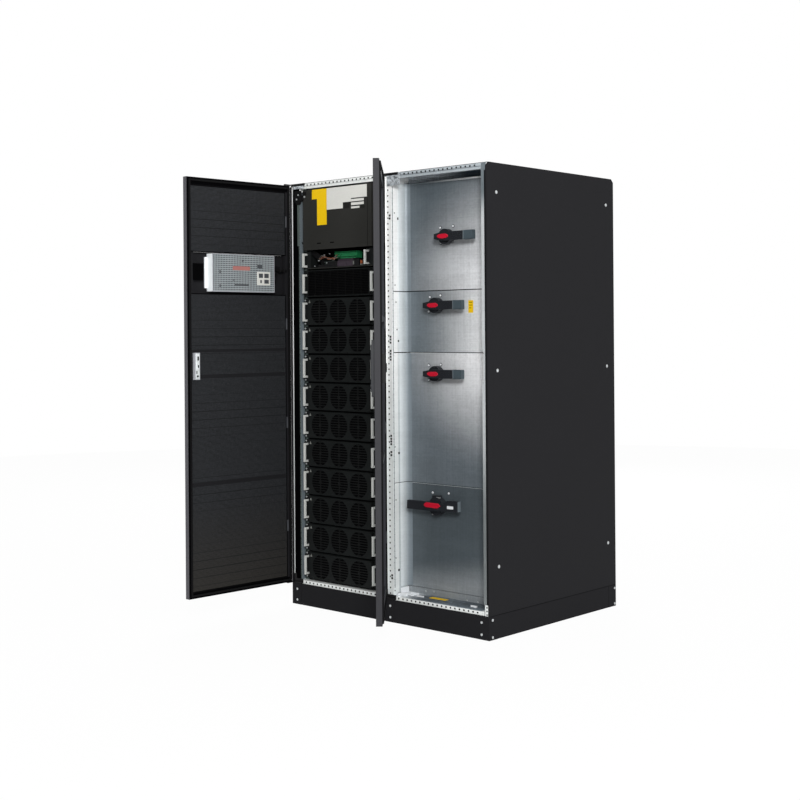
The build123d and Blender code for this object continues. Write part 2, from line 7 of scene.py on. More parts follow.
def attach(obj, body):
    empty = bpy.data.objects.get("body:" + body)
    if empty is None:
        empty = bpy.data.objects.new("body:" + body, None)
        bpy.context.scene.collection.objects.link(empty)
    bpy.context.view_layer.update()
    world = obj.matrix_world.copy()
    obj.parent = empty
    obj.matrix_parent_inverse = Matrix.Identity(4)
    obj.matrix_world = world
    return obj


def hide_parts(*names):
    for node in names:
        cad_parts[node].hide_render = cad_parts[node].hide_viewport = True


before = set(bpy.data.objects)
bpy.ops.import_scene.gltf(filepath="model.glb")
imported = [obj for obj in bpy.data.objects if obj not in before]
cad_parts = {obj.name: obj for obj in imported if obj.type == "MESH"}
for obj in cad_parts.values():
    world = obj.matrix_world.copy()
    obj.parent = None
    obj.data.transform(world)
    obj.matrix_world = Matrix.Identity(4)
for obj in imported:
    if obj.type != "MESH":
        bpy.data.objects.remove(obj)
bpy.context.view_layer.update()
print("frame loaded")

# Pieces are drawn in millimetres round the cabinet's middle, front towards -Y, and putPiece scales them.
cabinet = {"left": -600.0, "right": 600.0, "front": -475.0, "back": 475.0, "bay": 600.0, "frontSet": 7.0,
           "rearSet": 9.0, "panel": 6.0, "join": 0.3, "post": 45.0, "step": 8.0}
modules = {"count": 10, "middle": -300.0, "low": 122.5, "pitch": 133.35, "unit": 44.45, "faceY": -453.0,
           "earY": -441.0}
doors = {"gap": 6.0, "thick": 26.0, "side": 4.0, "low": 112.0, "top": 1988.0, "pivotX": 7.0,
         "pivotY": -511.0, "angles": (93.1, 48.5), "bodies": ("left_door", "right_door")}
forward, backward, rightward, leftward, upward = (0, -1, 0), (0, 1, 0), (1, 0, 0), (-1, 0, 0), (0, 0, 1)

# Camera, at the photograph's place
cameraPlan = {"place": (4.0453, -4.7764, 1.2871), "yaw": 0.741319, "roll": -0.0071789, "focal": 1320.257,
              "middleY": 332.904, "picture": 800.0, "sensor": 36.0, "reach": 100.0}


def makeCamera():
    plan = cameraPlan
    data = bpy.data.cameras.new("photoCamera")
    camera = bpy.data.objects.new("photoCamera", data)
    bpy.context.scene.collection.objects.link(camera)
    bpy.context.scene.camera = camera
    yaw, roll = plan["yaw"], plan["roll"]
    right = Vector((math.cos(yaw), math.sin(yaw), 0))
    ahead = Vector((-math.sin(yaw), math.cos(yaw), 0))
    up = Vector(upward)
    rolledRight = right * math.cos(roll) + up * math.sin(roll)
    rolledUp = up * math.cos(roll) - right * math.sin(roll)
    turn = Matrix((rolledRight, rolledUp, -ahead)).transposed().to_4x4()
    camera.matrix_world = Matrix.Translation(Vector(plan["place"])) @ turn
    data.sensor_width = plan["sensor"]
    data.lens = plan["focal"] / plan["picture"] * plan["sensor"]
    data.shift_y = (plan["middleY"] - plan["picture"] / 2) / plan["picture"]
    data.clip_end = plan["reach"]


makeCamera()
bpy.context.scene.view_settings.view_transform = "Standard"


# Shapes worked out as whole arrays, each as its points and its groups of faces
def boxesOf(*rows):
    # boxes from rows of x, y and z ranges: every corner takes each of its three numbers from the low or the
    # high end
    rows = np.array(rows, float)
    low, high = rows[:, [0, 2, 4]], rows[:, [1, 3, 5]]
    pick = np.array([[0, 0, 0], [1, 0, 0], [1, 1, 0], [0, 1, 0], [0, 0, 1], [1, 0, 1], [1, 1, 1],
                     [0, 1, 1]], bool)
    points = np.where(pick[None], high[:, None], low[:, None]).reshape(-1, 3)
    quads = np.array([[0, 3, 2, 1], [4, 5, 6, 7], [0, 1, 5, 4], [1, 2, 6, 5], [2, 3, 7, 6], [3, 0, 4, 7]])
    return points, [(quads[None] + 8 * np.arange(len(low))[:, None, None]).reshape(-1, 4)]


def spots(x, y, z):
    # places with three numbers each, where a number may be one for all
    return np.stack(np.broadcast_arrays(x, y, z), -1).astype(float)


def tubeFaces(rows, cols):
    # quads between each ring of a tube and the next, and its two end caps
    i, j = np.meshgrid(np.arange(rows - 1), np.arange(cols), indexing="ij")
    k = (j + 1) % cols
    quads = np.stack([i * cols + j, i * cols + k, (i + 1) * cols + k, (i + 1) * cols + j], -1).reshape(-1, 4)
    return quads, np.stack([np.arange(cols)[::-1], (rows - 1) * cols + np.arange(cols)])


def turned(centres, axis, profile, sides=12):
    # a profile of (radius, distance along the axis) carried round the axis at every centre: centre + r cos a
    # + r sin a + along
    centres, profile = np.atleast_2d(np.asarray(centres, float)), np.asarray(profile, float)
    axis = np.asarray(axis, float) / np.linalg.norm(axis)
    side = np.cross(axis, upward if abs(axis[2]) < 0.9 else rightward)
    side = side / np.linalg.norm(side)
    angle = np.linspace(0, 2 * np.pi, sides, endpoint=False)[:, None]
    ring = np.cos(angle) * side + np.sin(angle) * np.cross(axis, side)
    shape = profile[:, 0][:, None, None] * ring[None] + profile[:, 1][:, None, None] * axis
    points = (centres[:, None, None] + shape[None]).reshape(-1, 3)
    shift = len(profile) * sides * np.arange(len(centres))[:, None, None]
    quads, caps = tubeFaces(len(profile), sides)
    return points, [(quads[None] + shift).reshape(-1, 4), (caps[None] + shift).reshape(-1, sides)]


def unitRows(rows):
    # each row over its own length
    return rows / np.linalg.norm(rows, axis=1, keepdims=True)


def swept(path, profile, over):
    # a closed profile (a, b) carried along a path: point + a * side + b * (travel x side), side square to
    # the travel, with b widened at a corner by one over the cosine of half its turn
    path, profile, over = (np.asarray(part, float) for part in (path, profile, over))
    runs = unitRows(np.diff(path, axis=0))
    before, after = np.concatenate([runs[:1], runs]), np.concatenate([runs, runs[-1:]])
    travel = unitRows(before + after)
    side = unitRows(over - (travel @ over)[:, None] * travel)
    other = np.cross(travel, side)
    half = np.clip((before * travel).sum(1), 0.3, 1)[:, None, None]
    points = path[:, None] + profile[None, :, :1] * side[:, None]
    points = points + profile[None, :, 1:] * other[:, None] / half
    return points.reshape(-1, 3), list(tubeFaces(len(path), len(profile)))


def roundProfile(radius, sides=8):
    # a circle: the radius times the cosine and the sine of evenly spaced angles
    angle = np.linspace(0, 2 * np.pi, sides, endpoint=False)
    return np.stack([radius * np.cos(angle), radius * np.sin(angle)], -1)


def softProfile(halfA, halfB, radius, steps=3):
    # a rectangle whose corners are quarter circles
    angle = np.linspace(0, np.pi / 2, steps + 1)
    corners = [(1, 1, 0), (-1, 1, 1), (-1, -1, 2), (1, -1, 3)]
    return np.concatenate([np.stack([a * (halfA - radius) + radius * np.cos(angle + q * np.pi / 2),
                                     b * (halfB - radius) + radius * np.sin(angle + q * np.pi / 2)], -1)
                           for a, b, q in corners])


def curvedPath(points, steps=6):
    # a smooth run through the points: each stretch blends its ends by the cubic of their neighbours
    p = np.asarray(points, float)
    ends = np.concatenate([2 * p[:1] - p[1:2], p, 2 * p[-1:] - p[-2:-1]])
    t = np.linspace(0, 1, steps, endpoint=False)[None, :, None]
    a, b, c, d = (ends[k:len(ends) - 3 + k][:, None] for k in range(4))
    run = 0.5 * (2 * b + (c - a) * t + (2 * a - 5 * b + 4 * c - d) * t ** 2
                 + (3 * b - a - 3 * c + d) * t ** 3)
    return np.concatenate([run.reshape(-1, 3), p[-1:]])


def prisms(outline, axis, low, high):
    # a flat outline pushed along one axis from low to high, faces turned outwards by the sign of its area
    outline = np.asarray(outline, float)
    n = len(outline)
    points = np.zeros((2 * n, 3))
    points[:n, axis], points[n:, axis] = low, high
    points[:, [k for k in range(3) if k != axis]] = np.tile(outline, (2, 1))
    j = np.arange(n)
    k = (j + 1) % n
    walls, caps = np.stack([j, k, k + n, j + n], -1), np.stack([j[::-1], j + n])
    after = np.roll(outline, -1, 0)
    if (np.sum(outline[:, 0] * after[:, 1] - after[:, 0] * outline[:, 1]) > 0) == (axis == 1):
        walls, caps = walls[:, ::-1], caps[:, ::-1]
    return points, [walls, caps]


def holedPlate(x0, x1, z0, z1, centre, radius, y0, y1, steps=48):
    # a plate with a round hole: at each angle the ring runs from the circle out to the plate's edge, front
    # to back
    angle = np.linspace(0, 2 * np.pi, steps, endpoint=False) + np.pi / steps
    c, s = np.cos(angle), np.sin(angle)
    reach = np.minimum(np.where(c > 0, x1 - centre[0], centre[0] - x0) / np.abs(c),
                       np.where(s > 0, z1 - centre[1], centre[1] - z0) / np.abs(s))
    rings = [(radius, y1), (radius, y0), (reach, y0), (reach, y1)]
    points = np.concatenate([spots(centre[0] + r * c, y, centre[1] + r * s) for r, y in rings])
    return points, [tubeFaces(len(rings), steps)[0][:, [0, 3, 2, 1]]]


def raised(part, z):
    # the same part, with z added to its heights
    return part[0] + np.array([0.0, 0.0, z]), part[1]


def hung(part, bay):
    # turns a piece drawn on the closed door to where the door stands, round its hinge pins
    angle = math.radians(doors["angles"][bay])
    pivot = np.array([cabinet["left"] + bay * cabinet["bay"] + doors["pivotX"], doors["pivotY"], 0.0])
    turn = np.array([[math.cos(angle), math.sin(angle), 0], [-math.sin(angle), math.cos(angle), 0],
                     [0, 0, 1]])
    return (part[0] - pivot) @ turn.T + pivot, part[1]


def putPiece(name, parts, look, slot="galvanised", body="cabinet", bay=None, smooth=None, bevel=None):
    # joins the parts in one mesh, scaled to metres, and hands it to its body, or to the door of its bay
    parts = [parts] if isinstance(parts, tuple) else parts
    if bay is not None:
        parts, body = [hung(part, bay) for part in parts], doors["bodies"][bay]
    faces, start = [], 0
    for points, groups in parts:
        for group in groups:
            faces.extend((group + start).tolist())
        start += len(points)
    mesh = bpy.data.meshes.new(name)
    mesh.from_pydata(np.concatenate([part[0] for part in parts]) * 0.001, [], faces)
    mesh.update()
    if smooth:
        mesh.polygons.foreach_set("use_smooth", np.ones(len(mesh.polygons), bool))
        mesh.set_sharp_from_angle(angle=math.radians(smooth))
    piece = bpy.data.objects.new(name, mesh)
    bpy.context.scene.collection.objects.link(piece)
    mesh.materials.append(looks[look])
    if bevel:
        edge = piece.modifiers.new("edge", "BEVEL")
        edge.width, edge.segments, edge.limit_method = bevel * 0.001, 2, "ANGLE"
    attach(piece, body)
    return piece


def putBoxes(plan, bay=None):
    # box pieces from a dictionary: name, then finish, slot, width of the eased edge and the boxes
    for name, (look, slot, bevel, *rows) in plan.items():
        putPiece(name, boxesOf(*rows), look, slot, bay=bay, bevel=bevel)


def putScrews(name, places, head, look="zincBolt", sides=12, body="cabinet"):
    # heads that face the front, one at each place
    putPiece(name, turned(places, forward, head, sides), look, body=body, smooth=40)


# Finishes
def tone(r, g, b):
    # a colour as seen on screen, 0 to 255, as the linear value that the shader takes
    c = np.array([r, g, b]) / 255.0
    return tuple(np.where(c <= 0.04045, c / 12.92, ((c + 0.055) / 1.055) ** 2.4)) + (1.0,)


def setInputs(tree, node, inputs):
    # a socket is linked, and anything else becomes the input's own value
    for key, value in inputs.items():
        if isinstance(value, bpy.types.NodeSocket):
            tree.links.new(value, node.inputs[key])
        else:
            node.inputs[key].default_value = value


def adder(tree):
    # a short way to add a node to the tree: it sets the node's choices, then its inputs, and gives one
    # output
    def add(kind, inputs=None, output=0, **choices):
        node = tree.nodes.new("ShaderNode" + kind)
        for key, value in choices.items():
            setattr(node, key, value)
        setInputs(tree, node, inputs or {})
        return node.outputs[output]
    return add


def startMaterial(name):
    # a material, the way to add its nodes, its object coordinates and the way to set its shader
    material = bpy.data.materials.new(name)
    material.use_nodes = True
    tree = material.node_tree
    add = adder(tree)

    def finish(inputs):
        setInputs(tree, tree.nodes["Principled BSDF"], inputs)
    return material, add, add("TexCoord", output="Object"), finish


grainPlan = {"detail": 4.0, "rough": 0.6, "low": 0.3, "high": 0.7, "cloud": 3.0, "cloudDetail": 3.0,
             "glossSpread": 0.05, "glossLow": 0.25, "glossHigh": 0.75}


def makeFinish(name, near, second, scale, rough, bump, drift, specular, grain=(1, 1, 1), metal=0.0,
               relief=0.0003, coat=0.0):
    # fine grain blends two tones and lifts a slight relief, and a slow cloud of the same coordinates varies
    # tone and gloss
    plan = grainPlan
    material, add, place, finish = startMaterial(name)
    stretch = add("Mapping", {"Vector": place, "Scale": grain})
    fine = add("TexNoise", {"Vector": stretch, "Scale": scale, "Detail": plan["detail"],
                            "Roughness": plan["rough"]})
    cloud = add("TexNoise", {"Vector": place, "Scale": plan["cloud"], "Detail": plan["cloudDetail"]})
    spread = add("MapRange", {"Value": fine, "From Min": plan["low"], "From Max": plan["high"]})
    colour = add("Mix", {0: spread, 6: tone(*near), 7: tone(*second)}, 2, data_type="RGBA")
    level = add("MapRange", {"Value": cloud, "From Min": plan["low"], "From Max": plan["high"],
                             "To Min": 1 - drift, "To Max": 1 + drift})
    gloss = add("MapRange", {"Value": cloud, "From Min": plan["glossLow"], "From Max": plan["glossHigh"],
                             "To Min": rough - plan["glossSpread"], "To Max": rough + plan["glossSpread"]})
    finish({"Base Color": add("VectorMath", {0: colour, "Scale": level}, operation="SCALE"),
            "Roughness": gloss, "Metallic": metal, "Specular IOR Level": specular, "Coat Weight": coat,
            "Normal": add("Bump", {"Height": fine, "Strength": bump, "Distance": relief})})
    return material


# Each finish: two tones, grain per metre, roughness, relief strength, drift of the tone and specular level
finishes = {
    "anthracitePaint": ((28, 28, 30), (34, 34, 36), 900, 0.55, 0.35, 0.05, 0.04),
    "plinthPaint": ((28, 28, 30), (34, 34, 36), 900, 0.6, 0.35, 0.05, 0.03),
    "moduleFace": ((22, 24, 24), (27, 29, 29), 700, 0.5, 0.2, 0.08, 0.06),
    "coverPaint": ((41, 41, 39), (45, 45, 43), 700, 0.5, 0.2, 0.05, 0.08),
    "blackSteel": ((18, 18, 19), (24, 24, 25), 600, 0.45, 0.2, 0.08, 0.15),
    "deepBlack": ((5, 5, 6), (8, 8, 9), 500, 0.9, 0.1, 0.1, 0.0),
    "rubberBlack": ((12, 12, 13), (17, 17, 18), 800, 0.75, 0.25, 0.08, 0.08),
    "switchBlack": ((32, 34, 38), (40, 42, 46), 800, 0.4, 0.15, 0.05, 0.25),
    "gripGrey": ((62, 73, 79), (69, 80, 86), 800, 0.5, 0.25, 0.04, 0.25),
    "insertRed": ((200, 28, 52), (186, 22, 44), 500, 0.35, 0.08, 0.04, 0.5),
    "satinAluminium": ((206, 208, 204), (190, 192, 188), 900, 0.4, 0.15, 0.05, 0.5),
    "uprightGrey": ((84, 94, 91), (68, 77, 75), 300, 0.5, 0.1, 0.1, 0.2),
    "fanBar": ((17, 18, 18), (22, 23, 23), 700, 0.6, 0.15, 0.08, 0.06),
    "louvreBlack": ((14, 14, 14), (18, 18, 18), 600, 0.7, 0.15, 0.08, 0.03),
    "darkGrey": ((66, 68, 72), (74, 76, 80), 600, 0.5, 0.15, 0.08, 0.15),
    "ringGrey": ((104, 113, 118), (96, 105, 110), 600, 0.5, 0.1, 0.04, 0.2),
    "faintRed": ((176, 116, 110), (160, 104, 100), 300, 0.6, 0.05, 0.06, 0.2),
    "edgeGrey": ((78, 77, 81), (86, 85, 89), 600, 0.55, 0.2, 0.1, 0.12),
    "innerGrey": ((46, 47, 52), (54, 55, 60), 600, 0.55, 0.2, 0.08, 0.12),
    "stripGrey": ((46, 46, 49), (53, 53, 56), 700, 0.55, 0.3, 0.05, 0.12),
    "screwWhite": ((240, 242, 244), (224, 227, 230), 500, 0.3, 0.08, 0.04, 0.5),
    "endWhite": ((248, 252, 253), (240, 245, 247), 300, 0.5, 0.05, 0.04, 0.3),
    "speckledZinc": ((228, 235, 240), (36, 44, 50), 95, 0.45, 0.3, 0.12, 0.3),
    "zincBolt": ((205, 208, 208), (180, 184, 186), 500, 0.3, 0.1, 0.05, 0.5),
    "labelWhite": ((214, 214, 208), (204, 204, 199), 300, 0.6, 0.05, 0.04, 0.3),
    "labelYellow": ((236, 194, 4), (226, 184, 3), 300, 0.55, 0.05, 0.04, 0.3),
    "labelBlack": ((20, 20, 18), (25, 25, 22), 300, 0.55, 0.05, 0.04, 0.15),
    "terminalGreen": ((24, 104, 62), (30, 116, 70), 600, 0.42, 0.1, 0.06, 0.45),
    "wireOrange": ((168, 92, 52), (150, 80, 46), 500, 0.45, 0.1, 0.06, 0.5),
    "wireGrey": ((120, 122, 118), (104, 106, 102), 500, 0.5, 0.1, 0.06, 0.5),
    "devicePurple": ((42, 33, 42), (50, 40, 50), 600, 0.5, 0.1, 0.08, 0.5),
    "screenGlass": ((14, 16, 20), (16, 18, 22), 200, 0.08, 0.0, 0.03, 0.5),
}
finishExtras = {
    "anthracitePaint": {"relief": 0.0002}, "plinthPaint": {"relief": 0.0002},
    "satinAluminium": {"grain": (1, 1, 0.05), "metal": 0.1},
    "uprightGrey": {"grain": (1, 1, 0.1), "metal": 0.1}, "screwWhite": {"metal": 0.1},
    "speckledZinc": {"metal": 0.1},
    "zincBolt": {"metal": 0.7}, "screenGlass": {"coat": 0.4}}
looks = {name: makeFinish(name, *row, **finishExtras.get(name, {})) for name, row in finishes.items()}

# Each zinc coated sheet: two tones, the way that one runs to the other or the point it brightens towards, the
# span in metres and how much the streaks vary it. The run between the two tones is painted light: painted
# shade and painted reflection along the sheet, and a painted highlight round the bright point
zincSheetsPaintedLight = {
    "zincFrame": ((226, 230, 229), (252, 253, 252), "way", (0.0, 0.0, 1.0), (0.7, 1.4), 0.06),
    "zincShade": ((118, 123, 124), (196, 200, 202), "way", (0.0, 0.0, 1.0), (0.5, 0.95), 0.06),
    "zincHead": ((104, 113, 118), (190, 195, 197), "way", (0.0, 0.0, -1.0), (-1.89, -1.77), 0.06),
    "zincFloor": ((248, 252, 254), (104, 114, 122), "way", (1.0, 0.0, 0.0), (0.06, 0.2), 0.4),
    "zincBendShaded": ((226, 232, 234), (116, 125, 131), "way", (1.0, 1.0, 0.0), (-0.366, -0.31), 0.06),
    "zincRail": ((230, 233, 231), (170, 178, 183), "way", (1.0, 0.0, 1.0), (1.98, 2.12), 0.1),
    "zincDisplay": ((176, 178, 184), (166, 168, 174), "way", (0.0, 0.0, 1.0), (1.5, 1.65), 0.05),
    "zincPlateTop": ((85, 94, 100), (252, 253, 255), "paintedHighlightSpot", (0.6, -0.363, 1.45), (0.62, 0.0), 0.12),
    "zincPlateUpper": ((100, 109, 115), (253, 254, 255), "way", (1.0, 0.0, 0.0), (0.1, 0.62), 0.12),
    "zincPlateLower": ((101, 109, 115), (254, 254, 255), "paintedHighlightSpot", (0.56, -0.363, 1.25), (0.6, 0.0), 0.12),
    "zincPlateBottom": ((78, 86, 91), (136, 141, 144), "way", (0.15, 0.0, -1.0), (-0.26, -0.1), 0.1),
    "zincHeader": ((214, 222, 230), (62, 73, 84), "way", (1.0, 0.0, 0.0), (0.14, 0.42), 0.2),
    "zincWall": ((190, 197, 199), (250, 253, 253), "way", (0.0, 0.0, 1.0), (0.85, 1.55), 0.08),
}
# What varies the zinc: stretch of the coordinates, scale and share
zincGrains = {"streaks": ((1.0, 1.0, 0.02), 150.0, 0.6), "scratches": ((0.03, 0.03, 1.0), 260.0, 0.5),
              "clouds": ((1.0, 1.0, 1.0), 7.0, 0.5), "bands": ((0.12, 0.12, 1.0), 16.0, 0.6)}
zincPlan = {"cells": 120.0, "cellShare": 0.16, "low": 1.0, "high": 1.36, "gloss": (0.4, 0.5), "relief": 0.06,
            "depth": 0.0004, "metal": 0.15, "specular": 0.4}


def makeZincPaintedLight(name, near, far, kind, mark, span, vary):
    # a grey that runs from near to far along one way of the sheet or towards a bright point, which is painted
    # shade, painted reflection and painted highlight, varied by the sum of upright streaks, level scratches,
    # clouds, bands and faint crystal cells
    plan = zincPlan
    material, add, place, finish = startMaterial(name)
    cells = add("TexVoronoi", {"Vector": place, "Scale": plan["cells"], "Randomness": 1.0}, "Color")
    red, green = (add("SeparateColor", {"Color": cells}, channel) for channel in ("Red", "Green"))
    total = add("Math", {0: red, 1: plan["cellShare"]}, operation="MULTIPLY")
    for stretch, size, share in zincGrains.values():
        grain = add("TexNoise", {"Vector": add("Mapping", {"Vector": place, "Scale": stretch}),
                                 "Scale": size, "Detail": grainPlan["detail"],
                                 "Roughness": grainPlan["rough"]})
        total = add("Math", {0: grain, 1: share, 2: total}, operation="MULTIPLY_ADD")
    # painted light: the place along the way, or the distance from the painted highlight point, picks the tone
    across = add("VectorMath", {0: place, 1: mark}, "Value",
                 operation="DISTANCE" if kind == "paintedHighlightSpot" else "DOT_PRODUCT")
    drift = add("MapRange", {"Value": across, "From Min": span[0], "From Max": span[1]},
                interpolation_type="SMOOTHSTEP")
    colour = add("Mix", {0: drift, 6: tone(*near), 7: tone(*far)}, 2, data_type="RGBA")
    shade = add("MapRange", {"Value": total, "From Min": plan["low"], "From Max": plan["high"],
                             "To Min": 1 - vary, "To Max": 1 + vary})
    finish({"Base Color": add("VectorMath", {0: colour, "Scale": shade}, operation="SCALE"),
            "Roughness": add("MapRange", {"Value": green, "To Min": plan["gloss"][0],
                                          "To Max": plan["gloss"][1]}),
            "Normal": add("Bump", {"Height": total, "Strength": plan["relief"], "Distance": plan["depth"]}),
            "Metallic": plan["metal"], "Specular IOR Level": plan["specular"]})
    return material


looks.update({name: makeZincPaintedLight(name, *row) for name, row in zincSheetsPaintedLight.items()})

meshPlan = {
    "perforatedBlack": {"cloud": 6.0, "pitch": 5.0, "hole": 0.36, "row": 1.732, "shifts": (0.0, 0.5),
                        "near": (58, 59, 61), "second": (64, 65, 67), "dark": (18, 18, 19),
                        "low": (58, 59, 61), "specular": 0.1},
    "linerMesh": {"cloud": 95.0, "pitch": 6.2, "hole": 0.34, "row": 1.732, "shifts": (0.0, 0.5),
                  "near": (37, 38, 40), "second": (62, 64, 67), "dark": (16, 17, 18), "low": (58, 56, 53),
                  "specular": 0.05},
    "displayMesh": {"cloud": 14.0, "pitch": 9.0, "hole": 0.32, "row": 1.0, "shifts": (0.0,),
                    "near": (158, 164, 167), "second": (138, 146, 148), "dark": (20, 28, 30),
                    "low": (170, 176, 178), "specular": 0.2},
}
holePlan = {"soft": 0.05, "lowFrom": 0.55, "lowTo": 0.15, "relief": 0.4, "depth": 0.0006, "rough": 0.6}


def makePerforated(name, plan, bay):
    # rows of round holes along the door: distance to the nearest point of one or two grids, the second half
    # a step over
    material, add, place, finish = startMaterial(name)
    angle = math.radians(doors["angles"][bay])
    along = add("VectorMath", {0: place, 1: (math.cos(angle), -math.sin(angle), 0.0)}, "Value",
                operation="DOT_PRODUCT")
    height = add("SeparateXYZ", {"Vector": place}, "Z")
    pitch, nearest = plan["pitch"] * 0.001, None
    for shift in plan["shifts"]:
        parts = []
        for source, step in ((along, pitch), (height, pitch * plan["row"])):
            near = add("Math", {0: add("Math", {0: source, 1: 1.0 / step, 2: shift},
                                       operation="MULTIPLY_ADD")}, operation="FRACT")
            parts.append(add("Math", {0: near, 1: step / pitch, 2: -0.5 * step / pitch},
                             operation="MULTIPLY_ADD"))
        joined = add("CombineXYZ", {"X": parts[0], "Y": parts[1]})
        reach = add("VectorMath", {0: joined}, "Value", operation="LENGTH")
        nearest = reach if nearest is None else add("Math", {0: nearest, 1: reach}, operation="MINIMUM")
    soft = holePlan["soft"]
    sheet = add("MapRange",
                {"Value": nearest, "From Min": plan["hole"] - soft, "From Max": plan["hole"] + soft})
    cloud = add("TexNoise", {"Vector": place, "Scale": plan["cloud"], "Detail": grainPlan["detail"]})
    lower = add("MapRange", {"Value": height, "From Min": holePlan["lowFrom"],
                             "From Max": holePlan["lowTo"]})
    base = add("Mix", {0: cloud, 6: tone(*plan["near"]), 7: tone(*plan["second"])}, 2, data_type="RGBA")
    base = add("Mix", {0: lower, 6: base, 7: tone(*plan["low"])}, 2, data_type="RGBA")
    finish({"Base Color": add("Mix", {0: sheet, 6: tone(*plan["dark"]), 7: base}, 2, data_type="RGBA"),
            "Normal": add("Bump", {"Height": sheet, "Strength": holePlan["relief"],
                                   "Distance": holePlan["depth"]}),
            "Roughness": holePlan["rough"], "Specular IOR Level": plan["specular"]})
    return material


looks.update({name: makePerforated(name, plan, 0) for name, plan in meshPlan.items()})
print("finishes made")

nodeLooks = {
    "plinthPaint": ["plinth_corners", "plinth_front_trims", "plinth_rear_trims", "plinth_side_trims"],
    "anthracitePaint": ["roof_plates", "left_side_panel", "right_side_panel", "rear_panels",
                        "left_door_frame", "right_door_skin"],
    "zincFrame": ["frame_posts"], "zincFloor": ["floor_plates"], "zincRail": ["frame_rails"],
    "zincWall": ["switch_side_plates"],
    "uprightGrey": ["equipment_uprights", "module_guides"], "zincPlateTop": ["switch_cover_top"],
    "zincPlateUpper": ["switch_cover_upper"], "zincPlateLower": ["switch_cover_lower"],
    "zincPlateBottom": ["switch_cover_bottom", "switch_end_strips"], "coverPaint": ["top_cover_panel"],
    "moduleFace": ["terminal_tray", "louvre_unit"] + ["ups_module_%02d" % n for n in range(1, 11)],
    "satinAluminium": ["unit_handles"], "terminalGreen": ["terminal_block"],
    "switchBlack": ["switch_collars", "left_door_lever", "right_door_lever",
                    *["switch_handle_%d" % n for n in range(1, 5)]],
    "blackSteel": ["hinge_brackets", "right_door_lock"], "innerGrey": ["right_door_ribs"],
    "perforatedBlack": ["left_door_mesh"],
    "zincDisplay": ["display_box", "left_door_lock"], "screenGlass": ["display_screen"],
    "rubberBlack": ["display_cable", "left_door_seal", "right_door_seal"]}


def dressNodes():
    # each CAD node takes its finish in every slot
    for look, names in nodeLooks.items():
        for name in names:
            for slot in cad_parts[name].material_slots:
                slot.material = looks[look]


dressNodes()
print("frame dressed")

# Frame: punched rows on posts and rails
punchPlan = {"pitch": 25.0, "low": 125.0, "high": 1975.0, "faceIn": 25.0, "sideIn": 16.0, "postHole": 3.8,
             "sideShare": 0.8, "railHole": 4.4, "railLines": (1989.0, 109.0), "railFrom": 57.0,
             "railTo": 50.0, "proud": 0.25}


def punched(centres, normal, radius, sides=8):
    # dark discs that stand for punched holes, each lying just over the sheet
    return turned(centres, normal, [(radius, -0.2), (radius, punchPlan["proud"])], sides)


def baySides(bay):
    # the left, right, front and back of a bay's frame
    left = cabinet["left"] + cabinet["panel"] if bay == 0 else cabinet["join"]
    right = -cabinet["join"] if bay == 0 else cabinet["right"] - cabinet["panel"]
    return left, right, cabinet["front"] + cabinet["frontSet"], cabinet["back"] - cabinet["rearSet"]


def framePunching():
    # the front post at the right of each bay has no row
    plan, parts = punchPlan, []
    heights = np.arange(plan["low"], plan["high"], plan["pitch"])
    for bay in (0, 1):
        x0, x1, y0, y1 = baySides(bay)
        for x, way, y, out in ((x0, 1, y0, -1), (x0, 1, y1, 1), (x1, -1, y1, 1)):
            face = spots(x + way * plan["faceIn"], y - out * cabinet["step"], heights)
            side = spots(x + way * cabinet["post"], y - out * plan["sideIn"], heights + plan["pitch"] / 2)
            parts += [punched(face, (0, out, 0), plan["postHole"]),
                      punched(side, (way, 0, 0), plan["postHole"] * plan["sideShare"])]
        run = np.arange(x0 + plan["railFrom"], x1 - plan["railTo"], plan["pitch"])
        parts += [punched(spots(run, y, z), (0, out, 0), plan["railHole"])
                  for y, out in ((y0, -1), (y1, 1)) for z in plan["railLines"]]
    putPiece("frame_punching", parts, "deepBlack")


framePunching()
print("frame punched")

# Modules
facePlan = {"proud": 2.4, "wide": 204.0, "edge": 5.0, "fanSpan": 125.0, "fanRadius": 56.0, "bars": 10,
            "barPitch": 11.6, "barTall": 4.8, "rib": 5.0, "hub": 7.0, "handleX": 222.0, "handleY": -463.0,
            "handleHalf": 40.0, "bar": 4.8, "barEdge": 1.3, "earX": 233.5, "screwZ": 55.0,
            "screw": [(4.6, -0.3), (4.6, 2.2), (3.4, 3.0)], "markX": 190.0, "markTop": 56.0,
            "markHalf": 6.5, "markTall": 14.0}


def fanFaceParts():
    # face, bars and dark discs, drawn for a module whose middle is at height zero
    plan, y, mid, hub = facePlan, modules["faceY"], modules["middle"], facePlan["hub"]
    radius, span, tall, front = plan["fanRadius"], plan["fanSpan"], plan["barTall"] / 2, y - plan["proud"]
    half = modules["pitch"] / 2 - plan["edge"]
    edges = [-plan["wide"], -span / 2, span / 2, plan["wide"]]
    heights = (np.arange(plan["bars"]) - (plan["bars"] - 1) / 2) * plan["barPitch"]
    reach = np.sqrt(radius ** 2 - np.minimum(np.abs(heights) + tall, radius - 0.5) ** 2)
    metal, bars, dark = [], [], []
    for k, shift in enumerate((-span, 0.0, span)):
        x = mid + shift
        metal.append(holedPlate(mid + edges[k], mid + edges[k + 1], -half, half, (x, 0.0), radius, front, y))
        bars += [boxesOf(*[(x - r, x + r, front + 0.2, y + 0.1, z - tall, z + tall)
                           for r, z in zip(reach, heights)]),
                 boxesOf((x - plan["rib"] / 2, x + plan["rib"] / 2, front, y, 2 - radius, radius - 2)),
                 turned((x, y, 0.0), forward, [(hub, 0), (hub, 2.2), (hub - 1.2, 3.0)], 16)]
        dark.append(turned((x, y, 0.0), forward, [(radius + 1, -0.2), (radius + 1, 0.3)], 32))
    return metal, bars, dark


